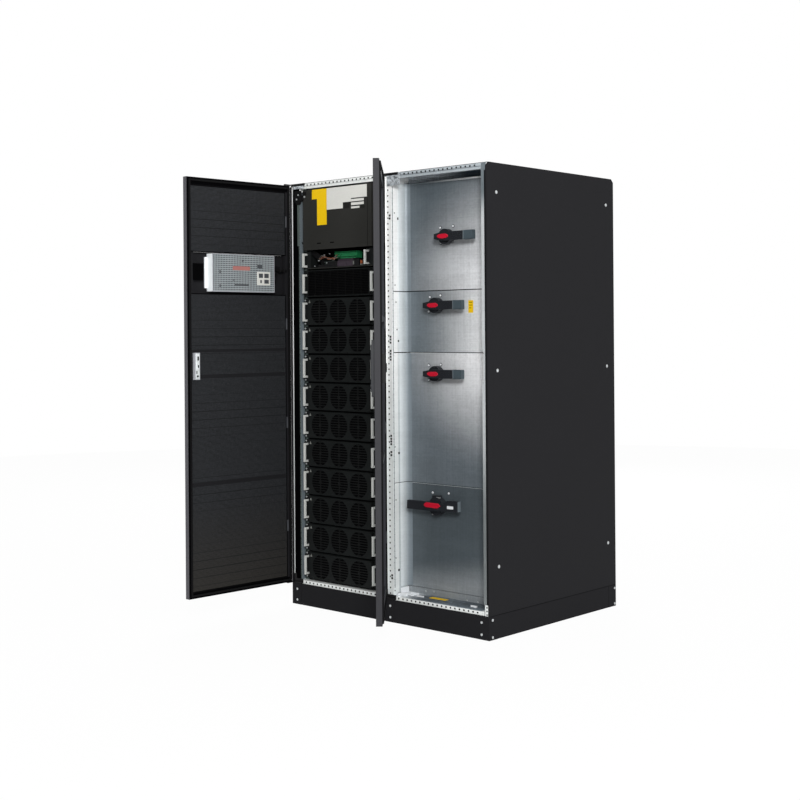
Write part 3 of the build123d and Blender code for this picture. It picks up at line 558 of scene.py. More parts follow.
def handleSleeve(x, z, half):
    # a square bar with eased edges, carried out from the ear, up and back
    y0, y1 = facePlan["handleY"], modules["earY"] - 0.3
    path = [(x, y1, z - half), (x, y0, z - half), (x, y0, z + half), (x, y1, z + half)]
    return swept(path, softProfile(facePlan["bar"], facePlan["bar"], facePlan["barEdge"], 2), rightward)


def makeModules():
    plan, mid, y = facePlan, modules["middle"], modules["faceY"]
    metal, bars, dark = fanFaceParts()
    for number in range(1, modules["count"] + 1):
        z = modules["low"] + (modules["count"] - number + 0.5) * modules["pitch"]
        tag = "_%02d" % number
        body = "ups_module" + tag
        for name, parts, look in (("fan_face", metal, "moduleFace"), ("fan_bars", bars, "fanBar"),
                                  ("fan_depths", dark, "deepBlack")):
            putPiece(name + tag, [raised(part, z) for part in parts], look, "charcoal", body)
        sleeves = [handleSleeve(mid + side * plan["handleX"], z, plan["handleHalf"]) for side in (-1, 1)]
        putPiece("module_handles" + tag, sleeves, "satinAluminium", "bright_aluminium", body, smooth=40)
        places = [(mid + side * plan["earX"], modules["earY"], z + up * plan["screwZ"]) for side in (-1, 1)
                  for up in (-1, 1)]
        putScrews("module_screws" + tag, places, plan["screw"], body=body)
        x, top, half, tall = mid - plan["markX"], z + plan["markTop"], plan["markHalf"], plan["markTall"]
        mark = prisms([(x - half, top - tall), (x + half, top - tall), (x, top)], 1, y - 2.9, y - 2.3)
        putPiece("module_mark" + tag, mark, "wireGrey", "charcoal", body)


makeModules()
print("modules dressed")

# Louvre unit over the modules, and the grips of the units that don't slide
louvrePlan = {"slats": 15, "half": 204.0, "inner": 199.0, "margin": 5.0, "rim": 4.0, "proud": 2.4,
              "slatIn": 8.0, "slatY": 1.2, "stayPitch": 50.0, "stayHalf": 0.8, "stayProud": 2.2, "depth": 0.4,
              "slat": [(-1.2, -1.8), (1.4, -0.6), (1.4, 1.0), (-1.2, -0.2)], "trayX": 184.0,
              "trayHalf": 28.0}


def makeLouvre():
    plan, y, mid, grip = louvrePlan, modules["faceY"], modules["middle"], facePlan["handleX"]
    half, inner = plan["half"], plan["inner"]
    low = modules["low"] + modules["count"] * modules["pitch"]
    z0, z1 = low + plan["margin"], low + modules["pitch"] - plan["margin"]
    front, inLow, inHigh, slatY = y - plan["proud"], z0 + plan["rim"], z1 - plan["rim"], y - plan["slatY"]
    putBoxes({
        "louvre_rim": ("moduleFace", "charcoal", None, (mid - half, mid + half, front, y, z0, inLow),
                       (mid - half, mid + half, front, y, inHigh, z1),
                       (mid - half, mid - inner, front, y, inLow, inHigh),
                       (mid + inner, mid + half, front, y, inLow, inHigh)),
        "louvre_depth": ("deepBlack", "charcoal", None,
                         (mid - inner, mid + inner, y - plan["depth"], y, inLow, inHigh))})
    slats = [swept([(mid - inner, slatY, z), (mid + inner, slatY, z)], plan["slat"], backward)
             for z in np.linspace(z0 + plan["slatIn"], z1 - plan["slatIn"], plan["slats"])]
    putPiece("louvre_slats", slats, "louvreBlack", "charcoal")
    stays = [(x - plan["stayHalf"], x + plan["stayHalf"], y - plan["stayProud"], y, inLow, inHigh)
             for x in mid + plan["stayPitch"] * np.arange(-3, 4)]
    putBoxes({"louvre_stays": ("louvreBlack", "charcoal", None, *stays)})
    tray = low + modules["pitch"] + modules["unit"]
    sleeves = [handleSleeve(mid + side * grip, (z0 + z1) / 2, facePlan["handleHalf"]) for side in (-1, 1)]
    sleeves += [handleSleeve(x, tray, plan["trayHalf"]) for x in (mid - grip, mid + plan["trayX"])]
    putPiece("unit_handle_bars", sleeves, "satinAluminium", "bright_aluminium", smooth=40)


makeLouvre()

# Terminal tray with its terminal strip, devices and wires
terminalPlan = {"x0": -357.0, "x1": -213.0, "y0": -420.0, "y1": -380.0, "z0": 1636.25, "z1": 1669.25,
                "step": 8.0, "base": (-340, -240, -414, -386, 1595.4, 1636.25)}


def makeTerminals():
    p = terminalPlan
    y0, y1, z0, z1, step = p["y0"], p["y1"], p["z0"], p["z1"], p["step"]
    outline = [(y0, z0), (y0, z0 + 13), (y0 + 5, z0 + 14), (y0 + 5, z0 + 20), (y0 + 1, z0 + 22),
               (y0 + 1, z1 - 1), (y0 + 12, z1), (y1, z1), (y1, z0)]
    places = np.arange(p["x0"], p["x1"] - 0.1, step)
    centres = places + step / 2
    parts = [prisms(outline, 0, x + 0.4, x + step - 0.4) for x in places]
    parts.append(boxesOf((p["x0"] + 0.5, p["x1"] - 0.5, y0 + 7, y1 - 1, z0 + 1, z1 - 1.2)))
    strip = putPiece("terminal_strip", parts, "terminalGreen", "green_terminal")
    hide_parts("terminal_block")
    entries = [(x - 2.4, x + 2.4, y0 - 0.3, y0 + 0.4, z - 2.6, z + 2.6) for z in (z0 + 6.5, z0 + 27.5)
               for x in centres]
    putBoxes({"terminal_base": ("devicePurple", "charcoal", 1.0, p["base"]),
              "terminal_entries": ("deepBlack", "charcoal", None, *entries)})
    putPiece("terminal_screws", turned(spots(centres, y0 + 20, z1), upward, [(2.2, -0.2), (2.2, 0.5)], 8),
             "zincBolt")


trayBoxes = {
    "tray_devices": ("devicePurple", "charcoal", 1.2, (-318, -262, -440, -416, 1598.0, 1622),
                     (-258, -221, -440, -416, 1598.0, 1622)),
    "tray_relays": ("blackSteel", "charcoal", 1.2, (-385, -325, -438, -410, 1598.0, 1624),
                    (-212, -182, -436, -410, 1598.0, 1630), (-455, -398, -430, -400, 1598.0, 1612)),
    "tray_fuses": ("wireGrey", "charcoal", 0.6, (-217, -213.5, -440, -420, 1604.0, 1620),
                   (-167, -163, -440.5, -430, 1599.0, 1606)),
    "tray_marker": ("wireOrange", "charcoal", 0.6, (-167, -163, -440.5, -430, 1606.0, 1621)),
    "tray_rail": ("uprightGrey", "galvanised", None, (-500, -220, -372, -366, 1600, 1607),
                  (-500, -220, -366, -364, 1600, 1630), (-500, -220, -372, -366, 1623, 1630))}
wirePlan = {"seed": 4, "radius": 1.0, "bundleRadius": 3.4, "bundle": 5, "over": (0.2, 0.3, 1),
            "groups": (("brown", "wireOrange", 3), ("grey", "wireGrey", 4), ("black", "rubberBlack", 6)),
            "fittings": [(-408, -436, 1656), (-448, -434, 1630), (-372, -437, 1660), (-390, -438, 1618),
                         (-475, -434, 1606)]}


def makeTrayDevices():
    plan = wirePlan
    putBoxes(trayBoxes)
    rng = np.random.default_rng(plan["seed"])
    for group, look, count in plan["groups"]:
        wires = []
        for k in range(count):
            x, lift = -352.0 + 9.0 * k + rng.uniform(-4, 4), rng.uniform(-8, 8)
            points = [(x, -419.5, 1640.0 + 16.0 * (k % 2)), (x - 8, -430, 1642 + lift),
                      (x - 34, -434 + 2 * k, 1634 - lift), (-412 - 5.0 * k, -430, 1650 + lift),
                      (-448 - 4.0 * k, -424, 1634 - lift), (-476, -408 + 4 * k, 1646 - 6 * k)]
            wires.append(swept(curvedPath(points), roundProfile(plan["radius"], 6), plan["over"]))
        putPiece("tray_wires_" + group, wires, look, "cable_black", smooth=60)
    runs = [[(-548 + 4 * k, -446, 1722 - 4 * k), (-530 + 4 * k, -440, 1700 - 5 * k),
             (-500, -432 + 3 * k, 1688 - 7 * k), (-470, -420 + 3 * k, 1668 - 8 * k),
             (-448, -404 + 3 * k, 1640 - 8 * k)] for k in range(plan["bundle"])]
    bundle = [swept(curvedPath(run), roundProfile(plan["bundleRadius"]), plan["over"]) for run in runs]
    putPiece("tray_bundle", bundle, "rubberBlack", "cable_black", smooth=60)
    putScrews("tray_fittings", plan["fittings"], [(2.4, -4), (2.4, 1.5), (1.6, 2.2)], sides=10)
    putBoxes({"tray_lip": ("coverPaint", "charcoal", 0.6, (-513, -87, -444.0, -440.8, 1592.6, 1597.5))})


makeTerminals()
makeTrayDevices()
print("tray filled")

# Cover panel over the tray, with its numeral and plain sheets
coverPlan = {"y": -461.0,
             "numeral": [(-462, 1919), (-428, 1919), (-428, 1795), (-364, 1795), (-364, 1964), (-462, 1964)],
             "sheet": [(-363, 1864), (-257, 1864), (-257, 1891), (-204, 1891), (-204, 1907), (-103, 1907),
                       (-103, 1964), (-363, 1964)],
             "bars": [(-203, -122, 1891, 1902), (-203, -122, 1874, 1886), (-203, -150, 1859, 1868)],
             "slots": [(-430, -404, 1708, 1713), (-343, -317, 1708, 1713), (-101.5, -100, 1682, 1964)],
             "clamp": [(-578, -530, -468, -462, 1912, 1966), (-574, -519, -466, -444, 1918, 1944),
                       (-566, -536, -470, -462, 1900, 1912), (-519, -500, -472, -462, 1944, 1958)],
             "screw": [(4.8, -0.3), (4.8, 2.4), (3.2, 3.2)],
             "clampScrew": [(4.0, -0.3), (4.0, 2.0), (2.8, 2.8)]}


def makeCoverDetails():
    plan, y = coverPlan, coverPlan["y"]
    putPiece("bay_numeral", prisms(plan["numeral"], 1, y - 0.5, y), "labelYellow", "charcoal")
    putPiece("notice_sheet", prisms(plan["sheet"], 1, y - 0.4, y), "labelWhite", "charcoal")
    bars = [(left, right, y - 0.9, y - 0.4, low, high) for left, right, low, high in plan["bars"]]
    slots = [(left, right, y - 0.3, y, low, high) for left, right, low, high in plan["slots"]]
    putBoxes({
        "dark_label": ("labelBlack", "charcoal", None, (-257, -214, y - 0.5, y, 1862, 1890),
                       (-204, -117, y - 0.5, y, 1856, 1904)),
        "label_bars": ("labelWhite", "charcoal", None, *bars),
        "cover_slots": ("deepBlack", "charcoal", None, *slots)})
    putScrews("cover_screws", (-513, y, 1935), plan["screw"])
    putBoxes({"cable_clamp": ("rubberBlack", "black_steel", 3.0, *plan["clamp"])})
    putScrews("clamp_screws", [(-549, -468, 1946), (-560, -468, 1926)], plan["clampScrew"])


makeCoverDetails()
print("cover dressed")

# Switch bay: hubs, grips, red inserts, screws and plain labels
switchPlan = {"x": (305.0, 244.0, 242.0, 245.0), "z": (1706.0, 1406.9, 1106.1, 525.0), "y": -423.0,
              "discY": -375.6, "plateY": -363.0, "hub": (34.0, 34.0, 34.0, 40.0), "gripFrom": 128.0,
              "gripTo": (175.0, 173.0, 172.0),
              "insert": [(-20, -3), (-10, -8), (2, -10), (28, -9.5), (40, -3), (40, 4), (28, 10), (2, 10),
                         (-10, 9), (-20, 4)],
              "lowInsert": [(-47, 2), (-36, -4), (30, -5), (46, 6), (32, 17), (-34, 18), (-47, 10)],
              "block": [(62, -13), (143, -13), (143, 34), (84, 33), (62, 20)],
              "ribs": (-12.0, -6.0, 0.0, 6.0, 12.0),
              "screws": (((324, 1752), (250, 1749), (254, 1682)), ((187, 1445), (249, 1451), (180, 1381)),
                         ((178, 1142), (248, 1146), (177, 1077)), ((196, 578), (289, 581), (197, 484))),
              "washer": [(8.0, -0.3), (8.0, 0.5), (6.0, 0.6)], "bolt": [(4.8, 0.5), (4.8, 3.0), (3.4, 4.0)]}


def makeSwitch(index):
    # three switches have a pull grip at the end of their arm, and the lowest has a block
    plan = switchPlan
    x, z, y, hub = plan["x"][index], plan["z"][index], plan["y"], plan["hub"][index]
    tag = "_%d" % (index + 1)
    body = "switch_handle" + tag

    def put(name, part, look, slot="switch_black", **edges):
        putPiece(name + tag, part, look, slot, body, **edges)

    put("hub_disc",
        turned((x, plan["discY"], z), forward, [(hub + 0.4, 0), (hub + 0.4, 22.5), (hub - 2.0, 27.0)], 40),
        "switchBlack", smooth=35)
    if index < 3:
        insert, start, end = plan["insert"], x + plan["gripFrom"], x + plan["gripTo"][index]
        put("hand_grip", swept([(start, y + 10, z), (end, y + 10, z)], softProfile(11.0, 20.0, 4), backward),
            "gripGrey", smooth=40)
        put("grip_ring",
            swept([(start - 4, y + 10, z), (start - 0.5, y + 10, z)], softProfile(11.6, 20.6, 4), backward),
            "ringGrey", smooth=40)
    else:
        insert = plan["lowInsert"]
        put("arm_block", prisms([(x + a, z + b) for a, b in plan["block"]], 1, y - 0.6, y + 20),
            "switchBlack", bevel=1.5)
        put("arm_end", boxesOf((x + 142.8, x + 143.9, y + 0.6, y + 19.4, z - 12, z + 33)), "ringGrey",
            bevel=0.3)
        put("arm_label", boxesOf((x + 84, x + 119, y - 1.4, y - 0.5, z - 2, z + 11)), "screwWhite")
        put("lock_tab", boxesOf((x - 22, x + 22, y + 22, y + 40, z + 28, z + 47)), "switchBlack", bevel=2.0)
        # lock_glint: a bright metal strip on the lock tab that paints its glint
        put("lock_glint", boxesOf((x + 4, x + 28, y + 20.5, y + 22.2, z + 36, z + 42)), "zincBolt",
            "galvanised", bevel=0.5)
    put("red_insert", prisms([(x + a, z + b) for a, b in insert], 1, y - 4.5, y + 2), "insertRed", bevel=1.2)
    if index < 3:
        put("arm_ribs", boxesOf(*[(x + 48, x + 118, y - 0.8, y + 0.2, z + h - 0.8, z + h + 0.8)
                                  for h in plan["ribs"]]), "switchBlack")
    places = [(a, plan["plateY"], b) for a, b in plan["screws"][index]]
    putScrews("switch_washers" + tag, places, plan["washer"], "darkGrey", 16)
    putScrews("switch_screws" + tag, places, plan["bolt"], "screwWhite")


for index in range(4):
    makeSwitch(index)

# Switch bay: seams, bend, side wall, labels and floor
platePlan = {"edges": (150.0, 616.98, 1199.08, 1472.93, 1960.0), "left": 45.6, "right": 548.7,
             "flangeY": -440.2, "flangeX": (549.2, 566.4), "seams": (1.0, 1.9, 1.9), "foldProud": 0.9,
             "bend": 28.0, "bendX": 45.9, "bendBack": 45.5, "bendDeep": 50.0, "bendGap": 2.0, "bendSteps": 7,
             "dotX": 45.3, "slotHalf": 4.5,
             "wallDots": [(-438.7, 1823, 3.0), (-438.2, 1501, 3.0), (-432.4, 1425, 3.4), (-427, 1302, 3.4),
                          (-415, 1799, 6.5), (-418, 1251, 5.0), (-445, 778, 3.0), (-419.7, 749, 6.0),
                          (-441.7, 541, 3.0), (-444.5, 282, 3.0), (-425.3, 226, 6.0)],
             "slots": [1798, 1811, 1244, 1258, 1270, 1168, 1181, 1194, 1207, 791, 803, 815, 828, 742, 756,
                       193, 206],
             "sillScrews": [(387, -363.0, 125), (448, -363.0, 125), (152, -363.0, 135), (198, -363.0, 138)],
             "sillHead": [(4.4, -0.3), (4.4, 2.0), (3.0, 3.0)]}
floorBoxes = {
    # floor_tabs_glint: the floor's tabs in a near white that is painted glint; floor_dark_streaks: dark
    # streaks over the floor
    "floor_tabs_glint": ("screwWhite", "galvanised", 1.0, (50, 92, -420, -366, 120, 123),
                   (50, 53, -420, -366, 123, 146), (58, 70, -456, -424, 120, 129),
                   (76, 110, -448, -440, 120, 134), (96, 140, -404, -398, 120, 131),
                   (112, 126, -432, -416, 120, 126), (150, 190, -424, -420, 120, 127),
                   (470, 500, -440, -430, 120, 127)),
    "floor_dark_streaks": ("darkGrey", "galvanised", None, (54, 76, -430, -424, 120.1, 120.6),
                    (94, 120, -412, -409, 120.1, 120.6), (130, 180, -396, -393, 120.1, 120.6),
                    (330, 420, -440, -437, 120.1, 120.6), (60, 64, -452, -430, 129.1, 129.6),
                    (320, 460, -376, -373, 120.1, 120.6), (100, 150, -437, -433, 120.1, 120.6),
                    (148, 214, -405, -401, 120.1, 120.6), (230, 330, -428, -424, 120.1, 120.6),
                    (310, 430, -402, -397, 120.1, 120.6), (350, 520, -420, -416, 120.1, 120.6),
                    (200, 300, -448, -445, 120.1, 120.6))}


def makePlateTrim():
    # seams over the plates, the side wall and the right post, folded edges in a lighter painted highlight,
    # the rounded bend at the left with painted shade across it, punching on the wall, the header over the
    # plates with painted shade, plain labels and the fittings of the floor, whose tabs carry a painted glint
    plan, y = platePlan, switchPlan["plateY"]
    edges, (f0, f1), flange = plan["edges"], plan["flangeX"], plan["flangeY"]
    left, right, fold = plan["left"] + 1, plan["right"] - 1, y - plan["foldProud"]
    lines = [boxesOf((left, plan["right"] - 0.2, y - 0.3, y + 2.8, z - half, z + half),
                     (f0, f1, flange - 0.3, flange + 0.4, z - half, z + half),
                     (44.9, 45.7, -449.0, y, z - half, z + half))
             for z, half in zip(edges[1:-1], plan["seams"])]
    dots = turned([(f1 - 1.5, flange, z) for z in edges[1:-1]], forward, [(2.6, -0.2), (2.6, 0.5)], 10)
    putPiece("plate_seams", lines + [dots], "deepBlack")
    # plate_fold_highlights and plate_top_fold_highlight: lighter strips along the folds, painted highlight
    putBoxes({"plate_fold_highlights": ("zincWall", "galvanised", None,
                              *[(left, right, fold, y, z - 2.6, z - 1.2) for z in edges[1:3]]),
              "plate_top_fold_highlight": ("zincPlateUpper", "galvanised", None,
                                 (left + 29, right, fold, y, edges[4] - 9.0, edges[4] - 2.0))})
    # the bend's finish runs from the wall's tone to the plate's tone across it: painted shade
    turn, bend, x = np.linspace(0, np.pi / 2, plan["bendSteps"]), plan["bend"], plan["bendX"]
    back, deep, gap = plan["bendBack"], y - plan["bendDeep"], plan["bendGap"]
    arc = np.stack([x + bend * (1 - np.cos(turn)), y - 0.2 - bend * (1 - np.sin(turn))], -1)
    arc = np.concatenate([[(back, deep), (x, deep)], arc, [(back, y - 0.2)]])
    strips = [prisms(arc, 2, low + gap, high - gap) for low, high in zip(edges[:-1], edges[1:])]
    putPiece("wall_bend", strips, "zincBendShaded", smooth=50)
    wall = [turned((plan["dotX"], a, b), rightward, [(r, -0.2), (r, 0.3)]) for a, b, r in plan["wallDots"]]
    tall = plan["slotHalf"]
    wall.append(boxesOf(*[(31.0, 41.0, -460.4, -459.6, z - tall, z + tall) for z in plan["slots"]]))
    putPiece("wall_punching", wall, "blackSteel")
    putBoxes({
        "wall_fold": ("ringGrey", "galvanised", None, (45.1, 45.7, -453.8, -450.2, 150, 1935)),
        # header_sheet: painted shade, light at the left and dark at the right
        "header_sheet": ("zincHeader", "galvanised", None, (46.0, 548.4, -343.5, -343.1, 1962.0, 1972.0),
                         (46.0, 548.4, -343.5, -343.1, 1974.0, 1996.0)),
        "plate_label": ("labelYellow", "galvanised", 0.2, (407, 434, y - 0.5, y, 1372, 1426)),
        "plate_label_lines": ("labelBlack", "galvanised", None, (411, 430, y - 0.8, y - 0.4, 1416, 1418),
                              (411, 430, y - 0.8, y - 0.4, 1404, 1406),
                              (411, 424, y - 0.8, y - 0.4, 1392, 1394)),
        "floor_strip": ("labelYellow", "galvanised", 0.3, (212, 304, -412, -386, 120.0, 121.2))})
    putScrews("sill_screws", plan["sillScrews"], plan["sillHead"])
    putBoxes(floorBoxes)


makePlateTrim()
print("switch bay dressed")

# Left door: the display, its plugs and the recess beside it
displayPlan = {"x0": -481.0, "x1": -126.0, "z0": 1479.0, "z1": 1650.0, "back": -460.0}


def makeDisplay():
    p = displayPlan
    x0, x1, low, top, y = p["x0"], p["x1"], p["z0"], p["z1"], p["back"]
    putBoxes({
        "display_sheet": ("displayMesh", "galvanised", None, (x0 + 1, x1 - 1, y, y + 0.5, low + 1, top - 1)),
        "display_rim": ("zincDisplay", "galvanised", 0.4, (x0, x1, y, y + 1.4, low, low + 3),
                        (x0, x1, y, y + 1.4, top - 3, top), (x0, x0 + 3, y, y + 1.4, low + 3, top - 3),
                        (x1 - 3, x1, y, y + 1.4, low + 3, top - 3)),
        "display_strip": ("faintRed", "galvanised", None, (-338, -240, y + 0.4, y + 1.0, 1578, 1596)),
        "display_socket": ("labelWhite", "galvanised", 0.6, (-455, -378, y, y + 2.4, 1512, 1574)),
        "display_marks": ("darkGrey", "galvanised", None, (-446, -420, y + 2.3, y + 2.9, 1546, 1566),
                          (-412, -388, y + 2.3, y + 2.9, 1546, 1566),
                          (-446, -420, y + 2.3, y + 2.9, 1520, 1538),
                          (-405, -396, y + 2.3, y + 2.9, 1522, 1536),
                          (-172, -164, y + 0.4, y + 1.2, 1500, 1512),
                          (-172, -164, y + 0.4, y + 1.2, 1560, 1576),
                          (-330, -250, y + 0.4, y + 1.0, 1508, 1514),
                          (-250, -238, y + 0.4, y + 1.0, 1530, 1536),
                          (-410, -380, y + 0.4, y + 1.0, 1590, 1606),
                          (-300, -292, y + 0.4, y + 1.0, 1618, 1626)),
        "display_end": ("endWhite", "galvanised", 0.3,
                        (x1 + 0.1, x1 + 0.9, -500.0, y - 0.4, low + 1, top - 1),
                        (x1 + 0.9, x1 + 14.6, -499.2, -498.2, low + 16, top - 16)),
        "display_plugs": ("rubberBlack", "cable_black", 1.6, (-506, -482, -478, -462, 1586, 1604),
                          (-500, -482, -474, -460, 1556, 1574), (-496, -482, -476, -464, 1522, 1538),
                          (-522, -506, -477, -466, 1580, 1600)),
        "band_recess": ("deepBlack", "black_steel", None, (-92, -34, -481.2, -480.4, 1529, 1604))}, 0)


makeDisplay()

# Both doors: locks, levers, edge facings and clips
fittingPlan = {"lockIn": 40.0, "lockZ": 1145.0, "clipZ": (382.0, 868.0, 1333.0, 1815.0),
               "sides": ("left", "right"),
               "plates": (("zincWall", "galvanised"), ("blackSteel", "black_steel")),
               "facings": ("edgeGrey", "stripGrey"), "barrel": [(8.0, -1), (8.0, 3.0), (6.6, 4.0)]}


def doorSides(bay):
    # the left and right edges and the outer and inner faces of a shut door
    left = cabinet["left"] + bay * cabinet["bay"]
    inner = cabinet["front"] - doors["gap"]
    return left + doors["side"], left + cabinet["bay"] - doors["side"], inner - doors["thick"], inner


def makeDoorFittings():
    plan, z, low, top = fittingPlan, fittingPlan["lockZ"], doors["low"], doors["top"]
    for bay, side in enumerate(plan["sides"]):
        x0, x1, y0, y1 = doorSides(bay)
        x = x1 - plan["lockIn"]
        putBoxes({
            side + "_lock_plate": (*plan["plates"][bay], 0.8,
                                   (x - 10, x + 10, y1 + 18, y1 + 20, z - 56, z + 56),
                                   (x - 5, x + 5, y1 + 20, y1 + 24, z - 16, z + 20)),
            side + "_lock_marks": ("blackSteel", "black_steel", None,
                                   (x - 6, x + 2, y1 + 19.8, y1 + 20.6, z + 26, z + 44),
                                   (x - 4, x + 6, y1 + 19.8, y1 + 20.6, z - 48, z - 40),
                                   (x + 3, x + 8, y1 + 19.8, y1 + 20.6, z - 34, z - 20),
                                   (x - 3, x + 3, y1 + 23.8, y1 + 24.4, z - 6, z + 6))}, bay)
        lever = swept([(x, y0 - 12.3, z - 95), (x, y0 - 12.3, z + 95)], softProfile(9.0, 3.2, 2.4),
                      rightward)
        putPiece(side + "_lever_face", lever, "switchBlack", "switch_black", bay=bay, smooth=40)
        barrel = turned((x, y0 - 12, z - 70), forward, plan["barrel"], 20)
        putPiece(side + "_lever_lock", barrel, "zincBolt", bay=bay, smooth=40)
        putBoxes({
            side + "_edge_facing": (plan["facings"][bay], "dark_paint", 0.2,
                                    (x1 + 0.05, x1 + 0.6, y0 + 1.0, y1 - 1.0, low + 2, top - 2)),
            side + "_door_clips": ("darkGrey", "black_steel", 1.0,
                                   *[(x0 + 23.0, x0 + 31.0, y1, y1 + 3.5, h - 26.0, h + 26.0)
                                     for h in plan["clipZ"]])}, bay)


makeDoorFittings()

# Left door: liners, edging, bands and cable ties
linerPlan = {"left": 34.0, "right": 17.0, "fields": ((139.0, 1470.0), (1655.0, 1954.0)), "linePitch": 37.0,
             "lineRuns": ((165.0, 1460.0), (1690.0, 1960.0)),
             "bands": ((1213.0, 7.0), (1098.0, 9.0), (618.0, 8.0)), "ties": (-552.0, -530.0)}


def makeMeshTrim():
    # perforated liners over the inner face, a black edging round them, dim cross bands and the ties of the
    # display's cable
    plan, low, top = linerPlan, doors["low"], doors["top"]
    x0, x1, _, y = doorSides(0)
    a, b = x0 + plan["left"], x1 - plan["right"]
    edging = [row for z0, z1 in plan["fields"] for row in (
        (a - 4, a, y, y + 1.6, z0, z1), (a, b, y + 0.6, y + 1.6, z0, z0 + 4),
        (a, b, y + 0.6, y + 1.6, z1 - 4, z1))]
    lines = np.concatenate([np.arange(*run, plan["linePitch"]) for run in plan["lineRuns"]])
    putBoxes({
        "door_shade": ("deepBlack", "dark_paint", 0.3, (x1 - 13, x1 - 1, y, y + 0.8, low + 2, top - 2),
                       (x0 + 8, x1 - 13, y, y + 0.8, top - 33, top - 2),
                       (x0 + 8, x1 - 13, y, y + 0.8, low + 2, low + 26)),
        "door_liner": ("linerMesh", "dark_paint", None,
                       *[(a, b, y, y + 0.7, z0, z1) for z0, z1 in plan["fields"]]),
        "liner_edging": ("deepBlack", "dark_paint", 0.4, *edging),
        "liner_bands": ("plinthPaint", "black_steel", None,
                        *[(a + 2, b - 2, y + 0.5, y + 0.9, z - h, z + h) for z, h in plan["bands"]]),
        "liner_lines": ("anthracitePaint", "dark_paint", None,
                        *[(a + 2, b - 2, y + 0.5, y + 0.85, z - 0.9, z + 0.9) for z in lines]),
        "cable_ties": ("blackSteel", "cable_black", 0.8,
                       *[(x, x + 6, y - 0.2, y + 13.5, 1576, 1592) for x in plan["ties"]])}, 0)


makeMeshTrim()
print("doors dressed")

# Plinth bolts, side and rear panel screws, and the seam over the plinth
boltPlan = {"head": [(5.6, -0.3), (5.6, 2.6), (4.0, 3.6)],
            "cup": [(7.5, -0.3), (7.5, 0.8), (5.0, 1.2), (5.0, 2.6), (3.4, 3.4)],
            "x": (-565.0, -35.0, 38.0, 560.0), "z": (22.0, 73.0), "sideIn": (21.0, 938.0),
            "sideZ": (12.0, 84.0), "panelIn": (67.0, 888.0), "panelZ": (302.0, 1126.0, 1876.0),
            "rearY": 469.0, "rearX": (-570.0, -30.0), "rearZ": (150.0, 750.0, 1350.0, 1950.0)}


def bothEnds(places, profile, sides):
    # the same heads on the right side and, mirrored, on the left
    return [turned(places, rightward, profile, sides),
            turned([(-x, y, z) for x, y, z in places], leftward, profile, sides)]


def makeBolts():
    plan, front, back, end = boltPlan, cabinet["front"], cabinet["back"], cabinet["right"]
    parts = [turned([(x, y, z) for x in plan["x"] for z in plan["z"]], way, plan["head"])
             for y, way in ((front, forward), (back, backward))]
    parts += bothEnds([(end, front + d, z) for d in plan["sideIn"] for z in plan["sideZ"]], plan["head"], 12)
    putPiece("plinth_bolts", parts, "zincBolt", smooth=40)
    parts = bothEnds([(end, front + d, z) for d in plan["panelIn"] for z in plan["panelZ"]], plan["cup"], 14)
    rear = [(x + bay * cabinet["bay"], plan["rearY"], z) for bay in (0, 1) for x in plan["rearX"]
            for z in plan["rearZ"]]
    putPiece("panel_screws", parts + [turned(rear, backward, plan["cup"], 14)], "zincBolt", smooth=40)
    putBoxes({"plinth_seams": ("deepBlack", "dark_paint", None,
                               (599.6, 600.25, front + 3, back - 3, 99.2, 100.9),
                               (-600.25, -599.6, front + 3, back - 3, 99.2, 100.9))})


makeBolts()

# Brackets and strips at the posts
bracketPlan = {"corner": (574, 593.5, -470.0, -467.9, 96.0, 146.0), "holes": (136.0, 121.0, 106.0),
               "holeX": 584.0, "holeY": -470.0, "hole": 3.4}
stripBoxes = {
    "corner_gussets": ("speckledZinc", "galvanised", 0.3, (-581, -512, -469.0, -467.9, 1975.0, 1999.0),
                       (28, 107, -469.0, -467.9, 1942.0, 1999.0)),
    "post_seal": ("rubberBlack", "cable_black", 1.0, (584, 591, -471.0, -467.9, 147.0, 1965.0)),
    "right_post_facing": ("zincShade", "galvanised", 0.2, (566.6, 584.0, -468.5, -467.9, 147.0, 1078.0),
                          (574.5, 584.0, -468.5, -467.9, 1078.0, 1212.0),
                          (566.6, 584.0, -468.5, -467.9, 1212.0, 1770.0)),
    # right_post_head: painted shade, darker towards the top of the post
    "right_post_head": ("zincHead", "galvanised", 0.2, (566.6, 593.8, -468.5, -467.9, 1770.0, 1998.0)),
    "lip_shade": ("deepBlack", "galvanised", None, (-586.5, -582.9, -468.5, -467.9, 118, 1996),
                  (-583.0, -582.5, -468.0, -460.8, 118, 1996)),
    "left_post_inner": ("ringGrey", "galvanised", None, (-549.2, -548.6, -460.0, -430.0, 118, 1960)),
    # post_shadow_band: painted shadow of the lip over the left post's step face; post_face_shaded: the post's
    # zinc face painted in a shaded grey-green
    "post_shadow_band": ("deepBlack", "charcoal", None, (-582.9, -555.0, -460.8, -460.1, 118, 1996),
                  (-555.0, -549.2, -460.8, -460.1, 1900, 1996)),
    "post_face_shaded": ("uprightGrey", "galvanised", None, (-555.0, -549.2, -460.8, -460.1, 118, 1900))}
uprightPlan = {"from": 137.5, "to": 1890.0, "x": -552.0, "y": -460.8, "hole": 2.2, "nuts": 13,
               "nutDown": 22.0, "groove": (-542.0, -538.5, -441.7, -441.0, 125, 1900)}


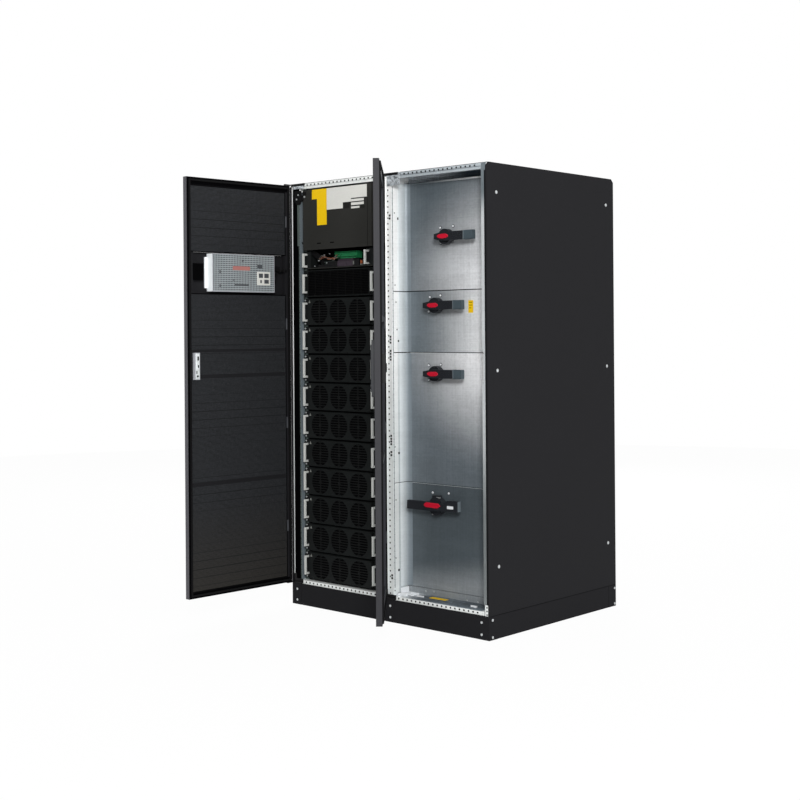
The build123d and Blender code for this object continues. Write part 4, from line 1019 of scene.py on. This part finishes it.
def makePostStrips():
    # the facing of the right post is narrower at the door's lock, to leave it room when the door is shut
    plan, bracket = uprightPlan, bracketPlan
    putBoxes({"corner_bracket": ("zincFrame", "galvanised", 0.5, bracket["corner"])})
    holes = spots(bracket["holeX"], bracket["holeY"], bracket["holes"])
    putPiece("bracket_holes", punched(holes, forward, bracket["hole"], 12), "deepBlack")
    putBoxes(stripBoxes)
    heights = np.arange(plan["from"], plan["to"], punchPlan["pitch"])
    middles = modules["low"] + np.arange(1, plan["nuts"] + 1) * modules["unit"] * 3 - plan["nutDown"]
    nuts = boxesOf(*[(-547.0, -538.0, -441.5, -437.5, z - 5, z + 5) for z in middles])
    marks = punched(spots(plan["x"], plan["y"], heights), forward, plan["hole"])
    putPiece("post_marks", [marks, nuts, boxesOf(plan["groove"])], "blackSteel", "black_steel")
    putBoxes({"post_strip": ("uprightGrey", "galvanised", 0.6,
                             (-562.0, -549.5, -463.0, -460.9, 1704, 1900))})


makePostStrips()
print("frame trimmed")

# Floor, world and lamps
studioPlan = {"floor": 0.94, "glow": 0.965, "world": 0.5, "radius": 9.0, "sides": 64, "drop": -0.0005,
              "aim": (0.0, 0.0, 1.0),
              "lamps": [("keyLamp", (4.9, -5.3, 3.2), 1.5, 390.0), ("sideLamp", (5.6, -1.6, 2.4), 2.4, 45.0),
                        ("backLamp", (-3.6, 4.6, 3.0), 2.6, 170.0)]}


def seenShare(add):
    # one where a ray comes from the camera, a gloss or a glass, and nought for the light that spreads
    camera, glossy, glass = (add("LightPath", output="Is %s Ray" % kind)
                             for kind in ("Camera", "Glossy", "Transmission"))
    return add("Math", {0: add("Math", {0: camera, 1: glossy}, operation="MAXIMUM"), 1: glass},
               operation="MAXIMUM")


def makeFloor():
    plan = studioPlan
    mesh = bpy.data.meshes.new("studioFloor")
    rim = roundProfile(plan["radius"], plan["sides"])
    mesh.from_pydata(spots(rim[:, 0], rim[:, 1], plan["drop"]), [], [list(range(plan["sides"]))])
    floor = bpy.data.objects.new("studioFloor", mesh)
    bpy.context.scene.collection.objects.link(floor)
    material, add, _, finish = startMaterial("paleFloor")
    finish({"Base Color": (plan["floor"],) * 3 + (1.0,), "Roughness": 0.9, "Specular IOR Level": 0.1})
    nodes = material.node_tree.nodes
    glow = add("Emission", {"Color": (1, 1, 1, 1), "Strength": 1.0})
    part = add("Math", {0: seenShare(add), 1: plan["glow"]}, operation="MULTIPLY")
    mixed = add("MixShader", {0: part, 1: nodes["Principled BSDF"].outputs["BSDF"], 2: glow})
    setInputs(material.node_tree, nodes["Material Output"], {"Surface": mixed})
    mesh.materials.append(material)


def makeWorld():
    world = bpy.data.worlds.new("studio")
    bpy.context.scene.world = world
    world.use_nodes = True
    add = adder(world.node_tree)
    level = add("MapRange", {"Value": seenShare(add), "To Min": studioPlan["world"], "To Max": 1.0})
    setInputs(world.node_tree, world.node_tree.nodes["Background"],
              {"Color": (1, 1, 1, 1), "Strength": level})


def makeLamps():
    for name, place, size, power in studioPlan["lamps"]:
        data = bpy.data.lights.new(name, "AREA")
        data.shape, data.size, data.size_y, data.energy = "RECTANGLE", size, size, power
        lamp = bpy.data.objects.new(name, data)
        bpy.context.scene.collection.objects.link(lamp)
        lamp.location = place
        lamp.rotation_euler = (Vector(studioPlan["aim"]) - Vector(place)).to_track_quat("-Z", "Y").to_euler()


makeFloor()
makeWorld()
makeLamps()
print("studio ready")
